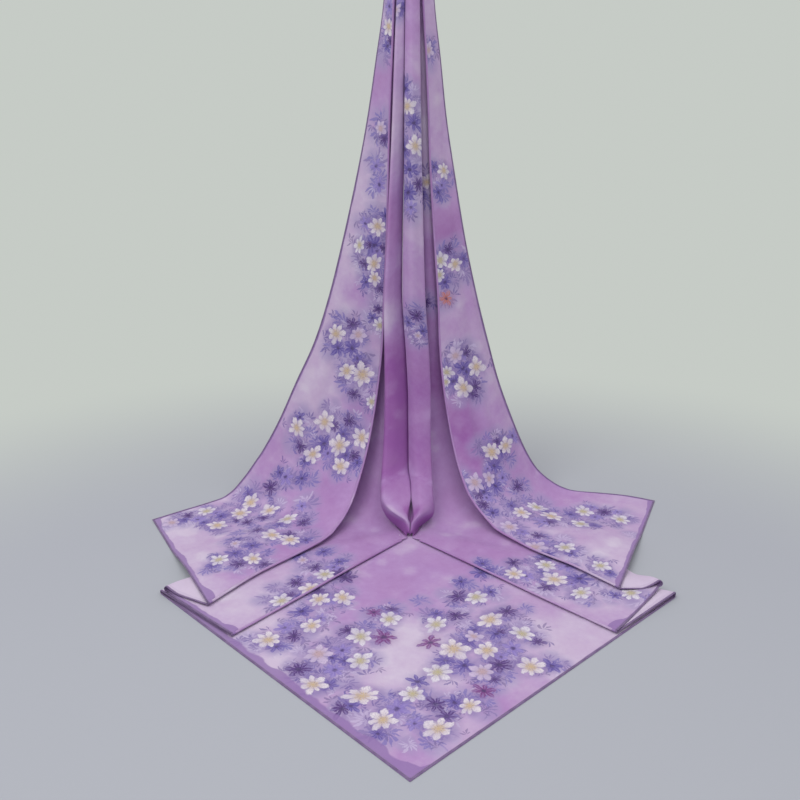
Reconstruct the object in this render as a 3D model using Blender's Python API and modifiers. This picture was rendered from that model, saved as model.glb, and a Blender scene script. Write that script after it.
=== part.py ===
"""Square cotton headscarf, hung by one corner and spread over the floor.

One square of printed cotton hangs from its rear corner. Its sides are folded
over and over like an accordion, so that each side shows a raised wing, a
middle layer under it and a front panel under that. Two rounded pleats rise
from the point where the folds meet. Every stretch that shows is a thin wall.

The frame: the origin is the hold at the top, +X is to the right, +Y points
away from the viewer and +Z is up. Sizes in the tables are millimetres.
"""

import math

import bmesh
import bpy
from mathutils import Vector

MM = 0.001

# Driving sizes
CLOTH_WALL = 1.2            # thickness of every stretch of cloth
SEAM_GAP = 0.3              # space between two solids that meet at a seam
TURN_GAP = 0.7              # the same beside a folded edge, whose wall is tilted
FOLD_RADIUS = 1.7           # middle of the wall in a folded edge
HEM_WIDTH = 4.0             # rolled hem, across
HEM_THICKNESS = 1.9
HEM_STOP = 0.4              # a hem's end stops this far short
FRONT_HEM_STOP = 3.2        # the same for the front hem, under its folded tips
HANG_HEIGHT = 1180.0        # hold above the floor
HOLD_FRONT = 38.0           # hold in front of the wall behind the scarf
LAYER_CLEARANCE = 1.1       # extra height of a wing above its middle layer
STACK_RUNOFF = 48.0         # length over which a layer sinks to the floor
PLEAT_TURN = 3.0            # radius of the turn behind a centre pleat
PLEAT_BELLY = 11.0          # how far a pleat's face stands out
VALLEY_HALF = 2.3           # half the space in the valley between the pleats
PLEAT_SEAM = 0.525          # half the space between the two pleats' walls
EDGE_ROUND = 5.0            # rounding of a pleat's inner edge
PLEAT_STEPS = (1, 1, 1, 1, 1, 1, 2, 2, 1, 1, 1, 1, 1)    # walls between a pleat's knees

# Largest sizes inside a pleat, as shares of its width, its room or its reach
BELLY_SHARE = 0.35
VALLEY_SHARE = 0.3
ROUND_SHARE = 0.4
TURN_ROOM_SHARE = 0.75
TURN_REACH_SHARE = 0.25
TURN_SMALLEST = 1.0
TURN_CLEARANCE = 1.7        # kept free between the turn and the middle valley
SLOPE_STEP = 0.2            # sections between the points that give a slope

# Where the knees of a pleat stand, as shares of the way between its edges
FLANK_SHARE = 0.55
FLANK_OUT = 0.1
FACE_SHARE = 0.42
FACE_TILT = 0.4
INNER_SHARE = 0.5
INNER_SLANT = 0.4

CORNER_FRONT = 842.0        # front corner, in front of the wall
JOIN_FRONT = 225.0          # point where the folds meet, in front of the wall
NOSE_FRONT = 214.0          # rear point of the front panel, under the join
JOIN_SMALL = 10.0           # nearer the join than this, no strip is turned under
JOIN_WIDE = 38.0            # farther than this, the strip has its whole height

SIDES = {"left": -1.0, "right": 1.0}

# Outer tips of the front panel and of the strip turned under it.
# Columns: out from the middle, front of the wall
PANEL_TIP = {"left": (414.0, 420.0), "right": (437.0, 432.0)}

# The foot of each side, from the hem on the floor to a height of 100 mm.
# A row is one section. Columns: wing hem, wing fold, valley behind the wing
# and inner edge of the middle layer, each as (out, front, up).
FOOT = {
    "left": (
        ((499, 157, 0), (329, 453, 0), (408, 402, 0), (274, 544, 0)),
        ((454, 121, 0), (262, 379, 0), (335, 330, 0), (182, 438, 0)),
        ((418, 93, 0), (194, 302, 0), (256, 252, 0), (91, 331, 0)),
        ((386, 67, 4), (150, 240, 5), (205, 190, 0), (4, 232, 0)),
        ((371, 57, 10), (137, 217, 11), (185, 165, 5), (17, 208, 0)),
        ((355, 49, 20), (125, 195, 20), (165, 140, 12), (27, 184, 6)),
        ((337, 43, 40), (113, 172, 36), (148, 118, 26), (32, 162, 20)),
        ((318, 38, 66), (104, 152, 56), (133, 102, 48), (34, 138, 46)),
    ),
    "right": (
        ((495, 75, 0), (354, 411, 0), (428, 383, 0), (319, 536, 0)),
        ((446, 52, 0), (286, 353, 0), (352, 306, 0), (213, 435, 0)),
        ((398, 40, 0), (217, 277, 0), (276, 232, 0), (107, 331, 0)),
        ((343, 31, 6), (166, 222, 5), (214, 178, 0), (4, 232, 0)),
        ((321, 30, 11), (152, 204, 11), (192, 156, 5), (15, 208, 0)),
        ((299, 30, 19), (138, 186, 21), (170, 136, 12), (22, 184, 6)),
        ((278, 31, 34), (123, 168, 35), (152, 117, 26), (27, 162, 20)),
        ((256, 32, 58), (109, 150, 55), (136, 101, 48), (30, 138, 46)),
    ),
}

# The foot of each centre pleat, from the joining point up.
# Columns: section number, outer edge, inner edge and valley (out, front, up).
PLEAT_FOOT = {
    "left": (
        (3.25, (8, 226, 8), (2.5, 228, 8), (0.4, 225, 4)),
        (3.6, (11, 219, 11), (4, 221, 11), (0.5, 217.5, 7)),
        (4.0, (15, 212, 17), (5, 214, 16), (0.5, 208, 11)),
        (4.5, (23, 203, 28), (6, 202, 25), (0.5, 196, 18)),
        (5.0, (38, 195, 36), (7, 191, 33), (0.5, 178, 22)),
        (6.0, (54, 183, 47), (6, 173, 50), (1, 134, 26)),
        (7.0, (56, 164, 68), (6, 154, 73), (2, 104, 50)),
    ),
    "right": (
        (3.25, (8, 226, 8), (2.5, 228, 8), (-0.4, 225, 4)),
        (3.6, (10, 219, 11), (3.5, 221, 11), (-0.5, 217.5, 7)),
        (4.0, (13, 212, 16), (4, 214, 15), (-0.5, 208, 11)),
        (4.5, (19, 202, 24), (6, 202, 23), (-0.5, 196, 18)),
        (5.0, (30, 195, 33), (8, 191, 31), (-0.5, 178, 22)),
        (6.0, (41, 181, 46), (2, 173, 50), (-1, 134, 26)),
        (7.0, (42, 163, 68), (0, 154, 73), (-2, 104, 50)),
    ),
}

# The hanging part. A row is one section, at the same height for every fold.
# Distances in front of the wall, the same on both sides. Columns: up, wing
# hem, wing fold, valley behind the wing, inner edge of the middle layer,
# pleat's outer edge, pleat's inner edge, valley between the pleats.
HANG_FRONT = (
    (100, 34, 122, 80, 108, 142, 136, 80),
    (160, 31, 99, 64, 84, 116, 112, 60),
    (240, 29, 83, 52, 66, 99, 97, 48),
    (320, 28, 74, 45, 56, 92, 91, 42),
    (410, 28, 68, 41, 50, 88, 87, 38),
    (520, 28, 64, 38, 46, 84, 83, 35),
    (640, 28, 61, 37, 43, 80, 80, 34),
    (735, 29, 59, 36, 41, 78, 78, 33),
    (835, 30, 57, 36, 40, 75, 75, 32),
    (930, 31, 55, 36, 40, 71, 71, 32),
    (1060, 32, 52, 36, 40, 66, 66, 32),
    (1180, 33, 48, 35, 40, 58, 59, 32),
)

# Distances out from the middle. Columns: wing hem, wing fold, valley behind
# the wing, inner edge of the middle layer, pleat's outer edge, pleat's inner
# edge, valley between the pleats. The rows are those of HANG_FRONT.
HANG_OUT = {
    "left": (
        (295, 89, 112, 34, 54, 5, 2.5),
        (262, 75, 98, 33, 50, 5, 3),
        (225, 62, 85, 32, 48, 6, 4),
        (187, 53, 76, 32, 48, 11, 8),
        (156, 49, 70, 31, 48, 19, 14),
        (126, 43, 62, 27, 42, 19, 13.5),
        (97, 39, 54, 23, 35, 17, 11),
        (77, 36, 49, 20, 30, 16, 10),
        (60, 31, 42, 18, 26, 15, 9),
        (45, 27, 34, 15, 22, 13, 8),
        (34, 20, 25, 12, 17, 9, 5),
        (28, 15, 19, 9, 13, 4, 0.5),
    ),
    "right": (
        (232, 92, 116, 30, 40, 0, -2.5),
        (206, 78, 102, 28, 38, -1, -3),
        (176, 65, 87, 26, 38, -2, -4),
        (153, 57, 77, 23, 34, -6, -8),
        (129, 53, 71, 19, 27, -9, -14),
        (104, 45, 61, 16, 23, -8, -13.5),
        (82, 37, 51, 14, 20, -6, -11),
        (66, 33, 45, 13, 18, -5, -10),
        (54, 28, 39, 12, 16, -4, -9),
        (42, 22, 30, 10, 15, -3, -8),
        (33, 18, 23, 9, 14, -1, -5),
        (28, 14, 18, 8, 13, 3, -0.5),
    ),
}

LINE_NAMES = ("hem", "fold", "valley", "inner", "outer_edge", "inner_edge", "centre")
FOOT_LINES = 4              # so many of the lines are in FOOT, the rest in PLEAT_FOOT
FIRST_HANGING = len(FOOT["left"])           # number of the first hanging row
LAST_SECTION = FIRST_HANGING + len(HANG_FRONT) - 1
PLEAT_START = PLEAT_FOOT["left"][0][0]
JOIN_SECTION = 3            # the middle layer's edge turns up at the join here
WING_DROP_START = 0.30      # share of a wing's width that lies on its layers
WING_DROP_END = 0.66        # share where it reaches the floor
WING_LYING = (2.0, 5.5)     # sections between which a wing comes off the floor
WING_BELLY = 7.0            # soft bulge of a hanging wing, towards the viewer
WING_BELLY_RISE = (4.5, 7.5)                # sections between which it grows
WING_BELLY_FADE = (8.0, 16.0)               # sections between which it shrinks
WING_BELLY_LEFT = 0.25      # share of the bulge that is left at the top
LOWER_STEPS = 3             # walls round a folded edge on the floor
UPPER_STEPS = 4             # walls round a folded edge at a height

# Walls across each sheet
MIDDLE_COLUMNS = 8
STRIP_COLUMNS = 3
WING_COLUMNS = 9
PANEL_COLUMNS = 10

# Stops along the sheets: sections in the foot, and shares of a strip's length
FOOT_STOPS = (
    0.0, 0.5, 1.0, 1.5, 2.0, 2.5, 3.0, 3.25, 3.6, 4.0, 4.5,
    5.0, 5.5, 6.0, 6.5, 7.0, 7.5, 8.0, 8.5,
)
UNDER_STOPS = (0.0, 0.12, 0.3, 0.5, 0.7, 0.82, 0.9)
HEM_SIDES = 6

# Columns: name, colour, roughness
CLOTH_COLOURS = {
    "panel": ((0.43, 0.25, 0.49), 0.82),
    "layer": ((0.40, 0.23, 0.47), 0.82),
    "wing": ((0.46, 0.29, 0.53), 0.82),
    "under": ((0.50, 0.38, 0.56), 0.85),
    "pleat": ((0.36, 0.17, 0.43), 0.80),
    "hem": ((0.22, 0.13, 0.27), 0.78),
}


def clear_scene():
    """Remove every object, so that the scarf is alone in the file."""
    for old in list(bpy.data.objects):
        bpy.data.objects.remove(old, do_unlink=True)


def smoothstep(value):
    value = min(max(value, 0.0), 1.0)
    return value * value * (3.0 - 2.0 * value)


def ramp(value, stretch):
    """Rise smoothly from 0 to 1 over a stretch."""
    return smoothstep((value - stretch[0]) / (stretch[1] - stretch[0]))


def blend(first, second, share):
    return first + (second - first) * share


class FoldLine:
    """A smooth line through the points of one table column.

    It may have one sharp corner, at the point with the number given.
    """

    def __init__(self, knots, points, corner=None):
        self.knots = knots
        self.points = [Vector(point) for point in points]
        self.corner = corner

    def slope(self, index, after):
        low = max(index - 1, 0)
        high = min(index + 1, len(self.knots) - 1)
        if index == self.corner:
            low, high = (index, high) if after else (low, index)
        rise = self.points[high] - self.points[low]
        return rise / (self.knots[high] - self.knots[low])

    def at(self, section):
        index = 0
        while index < len(self.knots) - 2 and section > self.knots[index + 1]:
            index += 1
        span = self.knots[index + 1] - self.knots[index]
        share = (section - self.knots[index]) / span
        square = share * share
        cube = square * share
        return (
            self.points[index] * (2 * cube - 3 * square + 1)
            + self.slope(index, True) * span * (cube - 2 * square + share)
            + self.points[index + 1] * (3 * square - 2 * cube)
            + self.slope(index + 1, False) * span * (cube - square)
        )


def side_lines(side):
    """The seven fold lines of one side, each as (out, front, up)."""
    lines = {}
    for column, name in enumerate(LINE_NAMES):
        if column < FOOT_LINES:
            knots = [float(row) for row in range(FIRST_HANGING)]
            points = [row[column] for row in FOOT[side]]
        else:
            knots = [row[0] for row in PLEAT_FOOT[side]]
            points = [row[column - FOOT_LINES + 1] for row in PLEAT_FOOT[side]]
        for row, front_row in enumerate(HANG_FRONT):
            knots.append(float(FIRST_HANGING + row))
            out = HANG_OUT[side][row][column]
            points.append((out, front_row[column + 1], front_row[0]))
        corner = JOIN_SECTION if name == "inner" else None
        lines[name] = FoldLine(knots, points, corner)
    return lines


def panel_edge_front(side, out):
    """Front distance of the front panel's rear edge at a distance out."""
    tip_out, tip_front = PANEL_TIP[side]
    return NOSE_FRONT + (tip_front - NOSE_FRONT) * out / tip_out


def rest_height(side, out, front):
    """Height of a middle layer that lies on the stack or on the floor."""
    on_floor = CLOTH_WALL / 2
    on_panel = CLOTH_WALL * 2
    from_join = math.hypot(out, front - JOIN_FRONT)
    near_join = ramp(from_join, (JOIN_SMALL, JOIN_WIDE))
    on_stack = blend(on_panel, on_floor + 4 * FOLD_RADIUS, near_join)
    behind = panel_edge_front(side, abs(out)) - front
    return blend(on_stack, on_floor, smoothstep(behind / STACK_RUNOFF))


def place(side, out, front, up):
    """A point in metres from sizes along the floor and up from it."""
    sign = SIDES[side]
    lowest = CLOTH_WALL / 2
    return Vector((
        sign * out * MM,
        (HOLD_FRONT - front) * MM,
        (max(up, lowest) - HANG_HEIGHT) * MM,
    ))


def section_frame(side, across_from, across_to, ahead, behind):
    """Directions across a strip and out of its face."""
    across = (across_to - across_from).normalized()
    along = (ahead - behind).normalized()
    face = across.cross(along).normalized() * -SIDES[side]
    return across, face


class Side:
    """Points of the folded layers of one side of the scarf."""

    def __init__(self, side):
        self.side = side
        self.lines = side_lines(side)

    def valley_point(self, section):
        """Outer edge of the middle layer."""
        out, front, up = self.lines["valley"].at(section)
        return place(self.side, out, front, up + rest_height(self.side, out, front))

    def fold_point(self, section):
        """Middle of the turn in the wing's front fold."""
        out, front, up = self.lines["fold"].at(section)
        stack = rest_height(self.side, out, front)
        level = stack + 3 * FOLD_RADIUS + LAYER_CLEARANCE
        return place(self.side, out, front, up + level)

    def hem_point(self, section):
        out, front, up = self.lines["hem"].at(section)
        return place(self.side, out, front, up + CLOTH_WALL / 2)

    def lift(self, point, height):
        """Raise a point, where it is too low over the middle layer."""
        out = point.x / MM * SIDES[self.side]
        front = HOLD_FRONT - point.y / MM
        lowest = rest_height(self.side, out, front) + height - HANG_HEIGHT
        return Vector((point.x, point.y, max(point.z, lowest * MM)))

    def strip_frame(self, section):
        """Directions across and out of the strip behind the wing."""
        low = max(section - SLOPE_STEP, 0.0)
        high = min(section + SLOPE_STEP, float(LAST_SECTION))
        return section_frame(
            self.side,
            self.valley_point(section),
            self.fold_point(section),
            self.valley_point(high) + self.fold_point(high),
            self.valley_point(low) + self.fold_point(low),
        )


def half_turn(centre, across, face, radius, steps, outward):
    """Points of a folded edge, from its lower layer to its upper one."""
    points = []
    for step in range(steps + 1):
        angle = math.pi * step / steps
        offset = across * (outward * math.sin(angle)) - face * math.cos(angle)
        points.append(centre + offset * radius)
    return points


def middle_row(layers, section, columns):
    """The middle layer, from its inner edge to the valley behind the wing."""
    side = layers.side
    inner = layers.lines["inner"].at(section)
    outer = layers.lines["valley"].at(section)
    row = []
    for column in range(columns + 1):
        share = column / columns
        out, front, up = blend(inner, outer, share)
        row.append(place(side, out, front, up + rest_height(side, out, front)))
    return row


def return_row(layers, section, columns):
    """The strip behind the wing, with the folded edge at each end."""
    across, face = layers.strip_frame(section)
    radius = FOLD_RADIUS * MM
    low_centre = layers.valley_point(section) + face * radius
    high_centre = layers.fold_point(section)
    row = half_turn(low_centre, across, face, radius, LOWER_STEPS, -1.0)
    high = half_turn(high_centre, across, face, radius, UPPER_STEPS, 1.0)
    for column in range(1, columns):
        point = row[LOWER_STEPS].lerp(high[0], column / columns)
        row.append(layers.lift(point, 2 * FOLD_RADIUS + LAYER_CLEARANCE / 2))
    return row + high


def wing_row(layers, section, columns, trim):
    """The raised wing, from its front fold to its hem."""
    across, face = layers.strip_frame(section)
    start = layers.fold_point(section) + face * FOLD_RADIUS * MM
    start -= across * TURN_GAP * MM
    end = layers.hem_point(section)
    width = (end - start).length
    last_share = 1.0 - trim * MM / width
    floor = (CLOTH_WALL / 2 - HANG_HEIGHT) * MM
    lying = 1.0 - ramp(section, WING_LYING)
    belly = WING_BELLY * MM * ramp(section, WING_BELLY_RISE)
    belly *= blend(1.0, WING_BELLY_LEFT, ramp(section, WING_BELLY_FADE))
    row = []
    for column in range(columns + 1):
        share = last_share * column / columns
        point = start.lerp(end, share)
        lying_height = blend(start.z, floor, ramp(share, (WING_DROP_START, WING_DROP_END)))
        point.z = blend(point.z, lying_height, lying)
        point.y -= math.sin(math.pi * share) * belly
        row.append(point)
    return row


def pleat_row(layers, section, steps):
    """A rounded centre pleat, from behind it round to the middle valley."""
    side = layers.side
    inner_line = layers.lines["inner"]
    inner = inner_line.at(section)
    ahead = inner_line.at(min(section + SLOPE_STEP, LAST_SECTION))
    behind = inner_line.at(section - SLOPE_STEP)
    climb = math.atan2(ahead.z - behind.z, behind.y - ahead.y)
    face = Vector((0.0, math.sin(climb), math.cos(climb)))
    inner.z += rest_height(side, inner.x, inner.y)
    outer_edge = layers.lines["outer_edge"].at(section)
    inner_edge = layers.lines["inner_edge"].at(section)
    centre = layers.lines["centre"].at(section)
    width = outer_edge.x - inner_edge.x
    belly = min(PLEAT_BELLY, width * BELLY_SHARE)
    front_way = (inner_edge - centre).normalized()
    bulge = (face * FACE_TILT + front_way).normalized() * belly
    valley_half = min(VALLEY_HALF, width * VALLEY_SHARE)
    rounding = min(EDGE_ROUND, width * ROUND_SHARE)
    outward = Vector((1.0, 0.0, 0.0))
    room = inner.x - centre.x - valley_half - TURN_GAP - TURN_CLEARANCE
    reach = (outer_edge - inner).length
    turn = max(min(room * TURN_ROOM_SHARE, reach * TURN_REACH_SHARE), TURN_SMALLEST)
    turn = min(turn, PLEAT_TURN)
    turn_centre = inner - outward * TURN_GAP + face * turn
    valley_centre = centre + front_way * valley_half
    valley_side = valley_centre + outward * valley_half
    flank = blend(inner + face * (2 * turn), outer_edge, FLANK_SHARE)
    inner_side = inner_edge.lerp(valley_side, INNER_SHARE)
    inner_side.x = blend(inner_edge.x, valley_side.x, INNER_SLANT)
    knees = half_turn(turn_centre, -outward, face, turn, UPPER_STEPS, 1.0)
    knees += [
        flank + outward * (width * FLANK_OUT),
        outer_edge,
        blend(outer_edge, inner_edge, FACE_SHARE) + bulge,
        inner_edge + (outward + front_way) * (rounding / 2),
        inner_edge - front_way * (rounding / 2),
        inner_side,
        valley_side,
        valley_centre + (outward - front_way) * (valley_half * math.sqrt(0.5)),
        centre + outward * PLEAT_SEAM,
    ]
    knots = [0.0]
    for knee, next_knee in zip(knees, knees[1:]):
        knots.append(knots[-1] + math.sqrt((next_knee - knee).length))
    section_line = FoldLine(knots, knees)
    row = []
    for index, share_steps in enumerate(steps):
        for step in range(share_steps):
            knot = blend(knots[index], knots[index + 1], step / share_steps)
            row.append(place(side, *section_line.at(knot)))
    row.append(place(side, *knees[-1]))
    return row


def turn_under_row(layers, share, columns):
    """The strip turned under the middle layer, at a share of its length."""
    side = layers.side
    tip_out, tip_front = PANEL_TIP[side]
    radius = FOLD_RADIUS
    edge_out = blend(tip_out, 0.0, share)
    edge_front = blend(tip_front, NOSE_FRONT, share)
    low = place(side, edge_out, edge_front, CLOTH_WALL / 2 + radius)
    nose = place(side, 0.0, NOSE_FRONT, CLOTH_WALL / 2)
    tip = place(side, tip_out, tip_front, CLOTH_WALL / 2)
    up = Vector((0.0, 0.0, 1.0))
    behind = up.cross(tip - nose).normalized() * SIDES[side]
    low += behind * TURN_GAP * MM
    inner = layers.lines["inner"].at(share * JOIN_SECTION)
    high = place(side, inner.x, inner.y, rest_height(side, inner.x, inner.y) - radius)
    across = Vector((high.x - low.x, high.y - low.y, 0.0)).normalized()
    high += across * TURN_GAP * MM
    row = half_turn(low, -behind, up, radius * MM, LOWER_STEPS, -1.0)
    top = half_turn(high, -behind, up, radius * MM, UPPER_STEPS, 1.0)
    for column in range(1, columns):
        row.append(row[LOWER_STEPS].lerp(top[0], column / columns))
    return row + top


def front_rows(rows, columns):
    """The flat front panel, a kite between its corner and its two tips."""
    corner = place("left", 0.0, CORNER_FRONT, 0.0)
    nose = place("left", 0.0, NOSE_FRONT, 0.0)
    tips = [place(side, *PANEL_TIP[side], 0.0) for side in SIDES]
    grid = []
    for row in range(rows + 1):
        share = row / rows
        left = corner.lerp(tips[0], share)
        right = tips[1].lerp(nose, share)
        grid.append([left.lerp(right, column / columns) for column in range(columns + 1)])
    return grid


def trim_edge(rows, distance):
    """Shorten a sheet at its first row, where the hem takes its place."""
    for column, point in enumerate(rows[0]):
        inward = (rows[1][column] - point).normalized()
        rows[0][column] = point + inward * distance * MM


def make_materials():
    materials = {}
    for name, (colour, roughness) in CLOTH_COLOURS.items():
        material = bpy.data.materials.new("cotton_" + name)
        material.use_nodes = True
        shader = material.node_tree.nodes["Principled BSDF"]
        shader.inputs["Base Color"].default_value = (*colour, 1.0)
        shader.inputs["Roughness"].default_value = roughness
        shader.inputs["Metallic"].default_value = 0.0
        materials[name] = material
    return materials


def add_object(name, mesh, material, collection, parent):
    piece = bpy.data.objects.new(name, mesh)
    piece.data.materials.append(material)
    collection.objects.link(piece)
    piece.parent = parent
    return piece


def make_sheet(name, rows, material, collection, parent):
    """A wall of cloth on a grid of points."""
    mesh = bpy.data.meshes.new(name)
    sheet = bmesh.new()
    grid = [[sheet.verts.new(point) for point in row] for row in rows]
    for row, next_row in zip(grid, grid[1:]):
        for column in range(len(row) - 1):
            corners = (row[column], row[column + 1], next_row[column + 1], next_row[column])
            sheet.faces.new(corners)
    bmesh.ops.recalc_face_normals(sheet, faces=sheet.faces)
    sheet.to_mesh(mesh)
    sheet.free()
    mesh.shade_smooth()
    piece = add_object(name, mesh, material, collection, parent)
    wall = piece.modifiers.new("Wall", "SOLIDIFY")
    wall.thickness = CLOTH_WALL * MM
    wall.offset = 0.0
    return piece


def shorten_path(path, distance):
    """Stop a hem short of the next one at both ends."""
    path = list(path)
    for end, neighbour in ((0, 1), (-1, -2)):
        edge, inward, face = path[end]
        back = (path[neighbour][0] - edge).normalized()
        path[end] = (edge + back * distance * MM, inward, face)
    return path


def make_hem(name, path, material, collection, parent, stop=HEM_STOP):
    """A rolled hem: a flat tube along (edge, inward, face) steps."""
    floor = (HEM_THICKNESS / 2 - HANG_HEIGHT) * MM
    path = shorten_path(path, stop)
    mesh = bpy.data.meshes.new(name)
    tube = bmesh.new()
    rings = []
    for edge, inward, face in path:
        centre = edge + inward * (HEM_WIDTH / 2 * MM)
        centre.z = max(centre.z, floor)
        ring = []
        for side in range(HEM_SIDES):
            angle = math.tau * side / HEM_SIDES
            offset = inward * (math.cos(angle) * HEM_WIDTH / 2)
            offset += face * (math.sin(angle) * HEM_THICKNESS / 2 / math.sin(math.pi / 3))
            ring.append(tube.verts.new(centre + offset * MM))
        rings.append(ring)
    for ring, next_ring in zip(rings, rings[1:]):
        for side in range(HEM_SIDES):
            after = (side + 1) % HEM_SIDES
            tube.faces.new((ring[side], ring[after], next_ring[after], next_ring[side]))
    tube.faces.new(rings[0])
    tube.faces.new(rings[-1])
    bmesh.ops.recalc_face_normals(tube, faces=tube.faces)
    tube.to_mesh(mesh)
    tube.free()
    return add_object(name, mesh, material, collection, parent)


def row_hem_path(rows):
    """Steps along the first row of a sheet."""
    first = rows[0]
    path = []
    for column, point in enumerate(first):
        inward = (rows[1][column] - point).normalized()
        along = first[min(column + 1, len(first) - 1)] - first[max(column - 1, 0)]
        path.append((point.copy(), inward, inward.cross(along).normalized()))
    return path


def column_hem_path(rows):
    """Steps along the last column of a sheet."""
    path = []
    for index, row in enumerate(rows):
        point = row[-1]
        inward = (row[-2] - point).normalized()
        along = rows[min(index + 1, len(rows) - 1)][-1] - rows[max(index - 1, 0)][-1]
        path.append((point.copy(), inward, inward.cross(along).normalized()))
    return path


def corner_step(first, second):
    """The step where two hem paths meet at a corner."""
    return (first[0], first[1] + second[1], first[2])


def section_list(start):
    """The sections that a sheet is built on, closer together in its foot."""
    hanging = range(FIRST_HANGING + 1, LAST_SECTION + 1)
    stops = list(FOOT_STOPS) + [float(stop) for stop in hanging]
    return [stop for stop in stops if stop >= start]


def shorten_last(rows, index, distance):
    """Leave a seam gap at one end of every row."""
    neighbour = 1 if index == 0 else -2
    for row in rows:
        inward = (row[neighbour] - row[index]).normalized()
        row[index] = row[index] + inward * distance * MM


def build_side(side, materials, collection, parent):
    layers = Side(side)
    trim = HEM_WIDTH + SEAM_GAP
    sections = section_list(0.0)

    middle = [middle_row(layers, section, MIDDLE_COLUMNS) for section in sections]
    shorten_last(middle, -1, TURN_GAP)
    hem = row_hem_path(middle)
    trim_edge(middle, trim)
    make_sheet(side + "_middle_layer", middle, materials["layer"], collection, parent)
    make_hem(side + "_middle_hem", hem, materials["hem"], collection, parent)

    strip = [return_row(layers, section, STRIP_COLUMNS) for section in sections]
    hem = row_hem_path(strip)
    trim_edge(strip, trim)
    make_sheet(side + "_wing_return", strip, materials["under"], collection, parent)
    make_hem(side + "_return_hem", hem, materials["hem"], collection, parent)

    whole_wing = [wing_row(layers, section, WING_COLUMNS, 0.0) for section in sections]
    wing = [wing_row(layers, section, WING_COLUMNS, trim) for section in sections]
    front_path = row_hem_path(whole_wing)
    side_path = column_hem_path(whole_wing)
    corner = corner_step(front_path[-1], side_path[0])
    path = front_path[:-1] + [corner] + side_path[1:]
    trim_edge(wing, trim)
    make_sheet(side + "_wing", wing, materials["wing"], collection, parent)
    make_hem(side + "_wing_hem", path, materials["hem"], collection, parent)

    under = [turn_under_row(layers, share, STRIP_COLUMNS) for share in UNDER_STOPS]
    hem = row_hem_path(under)
    trim_edge(under, trim)
    make_sheet(side + "_turn_under", under, materials["under"], collection, parent)
    make_hem(side + "_turn_under_hem", hem, materials["hem"], collection, parent)

    pleat_sections = section_list(PLEAT_START)
    pleat = [pleat_row(layers, section, PLEAT_STEPS) for section in pleat_sections]
    make_sheet(side + "_centre_pleat", pleat, materials["pleat"], collection, parent)


def build_front(materials, collection, parent):
    """The front panel, flat on the floor, with its hem on two edges."""
    grid = front_rows(PANEL_COLUMNS, PANEL_COLUMNS)
    left_path = []
    right_path = []
    for index in range(len(grid)):
        left_path.append(grid[index][0])
        right_path.append(grid[0][index])
    up = Vector((0.0, 0.0, 1.0))
    corner = grid[0][0]
    left_in = up.cross(grid[-1][0] - corner).normalized() * -1.0
    right_in = up.cross(grid[0][-1] - corner).normalized()
    path = [(point.copy(), left_in, up) for point in reversed(left_path[1:])]
    path.append((corner.copy(), left_in + right_in, up))
    path += [(point.copy(), right_in, up) for point in right_path[1:]]
    trim = (HEM_WIDTH + SEAM_GAP) * MM
    for row in grid[1:]:
        along = (row[1] - row[0]).normalized()
        row[0] = row[0] + along * (trim / along.dot(left_in))
    for index in range(1, len(grid)):
        along = (grid[1][index] - grid[0][index]).normalized()
        grid[0][index] = grid[0][index] + along * (trim / along.dot(right_in))
    grid[0][0] = corner + (left_in + right_in) * trim
    make_sheet("front_panel", grid, materials["panel"], collection, parent)
    make_hem("front_hem", path, materials["hem"], collection, parent, FRONT_HEM_STOP)


def main():
    clear_scene()
    collection = bpy.data.collections.new("cotton_headscarf")
    bpy.context.scene.collection.children.link(collection)
    hold = bpy.data.objects.new("hold_point", None)
    collection.objects.link(hold)
    materials = make_materials()
    build_front(materials, collection, hold)
    for side in SIDES:
        build_side(side, materials, collection, hold)


main()
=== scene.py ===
import math
import random

import bmesh
import bpy
import numpy as np
from mathutils import Euler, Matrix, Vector


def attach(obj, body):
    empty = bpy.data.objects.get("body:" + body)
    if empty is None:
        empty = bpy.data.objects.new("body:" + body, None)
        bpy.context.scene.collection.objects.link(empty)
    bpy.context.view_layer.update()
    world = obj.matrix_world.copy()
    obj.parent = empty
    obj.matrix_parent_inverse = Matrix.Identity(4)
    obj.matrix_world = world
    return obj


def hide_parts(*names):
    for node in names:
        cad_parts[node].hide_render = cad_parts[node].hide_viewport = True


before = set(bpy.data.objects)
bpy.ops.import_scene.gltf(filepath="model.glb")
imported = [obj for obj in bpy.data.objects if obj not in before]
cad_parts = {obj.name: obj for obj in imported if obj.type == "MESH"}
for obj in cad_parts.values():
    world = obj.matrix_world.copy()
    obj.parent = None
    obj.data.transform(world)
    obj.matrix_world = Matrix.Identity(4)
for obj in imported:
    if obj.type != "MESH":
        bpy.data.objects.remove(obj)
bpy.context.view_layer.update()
print("stage: frame loaded")

mm = 0.001
sides = {"left": -1.0, "right": 1.0}

# sizes in millimetres, the same as the part's
cloth = {
    "wall": 1.2,              # the solids' wall, the skin is thinner
    "skin": 0.7,
    "foldRadius": 1.7,
    "turnGap": 0.7,
    "seamGap": 0.3,
    "hemWidth": 4.0,
    "hemThickness": 1.8,
    "hang": 1180.0,
    "holdFront": 38.0,
    "clearance": 1.1,
    "runoff": 48.0,
    "corner": 842.0,
    "join": 225.0,
    "nose": 214.0,
    "joinSmall": 10.0,
    "joinWide": 38.0,
    "panelTip": {"left": (414.0, 420.0), "right": (437.0, 432.0)},
}

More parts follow.
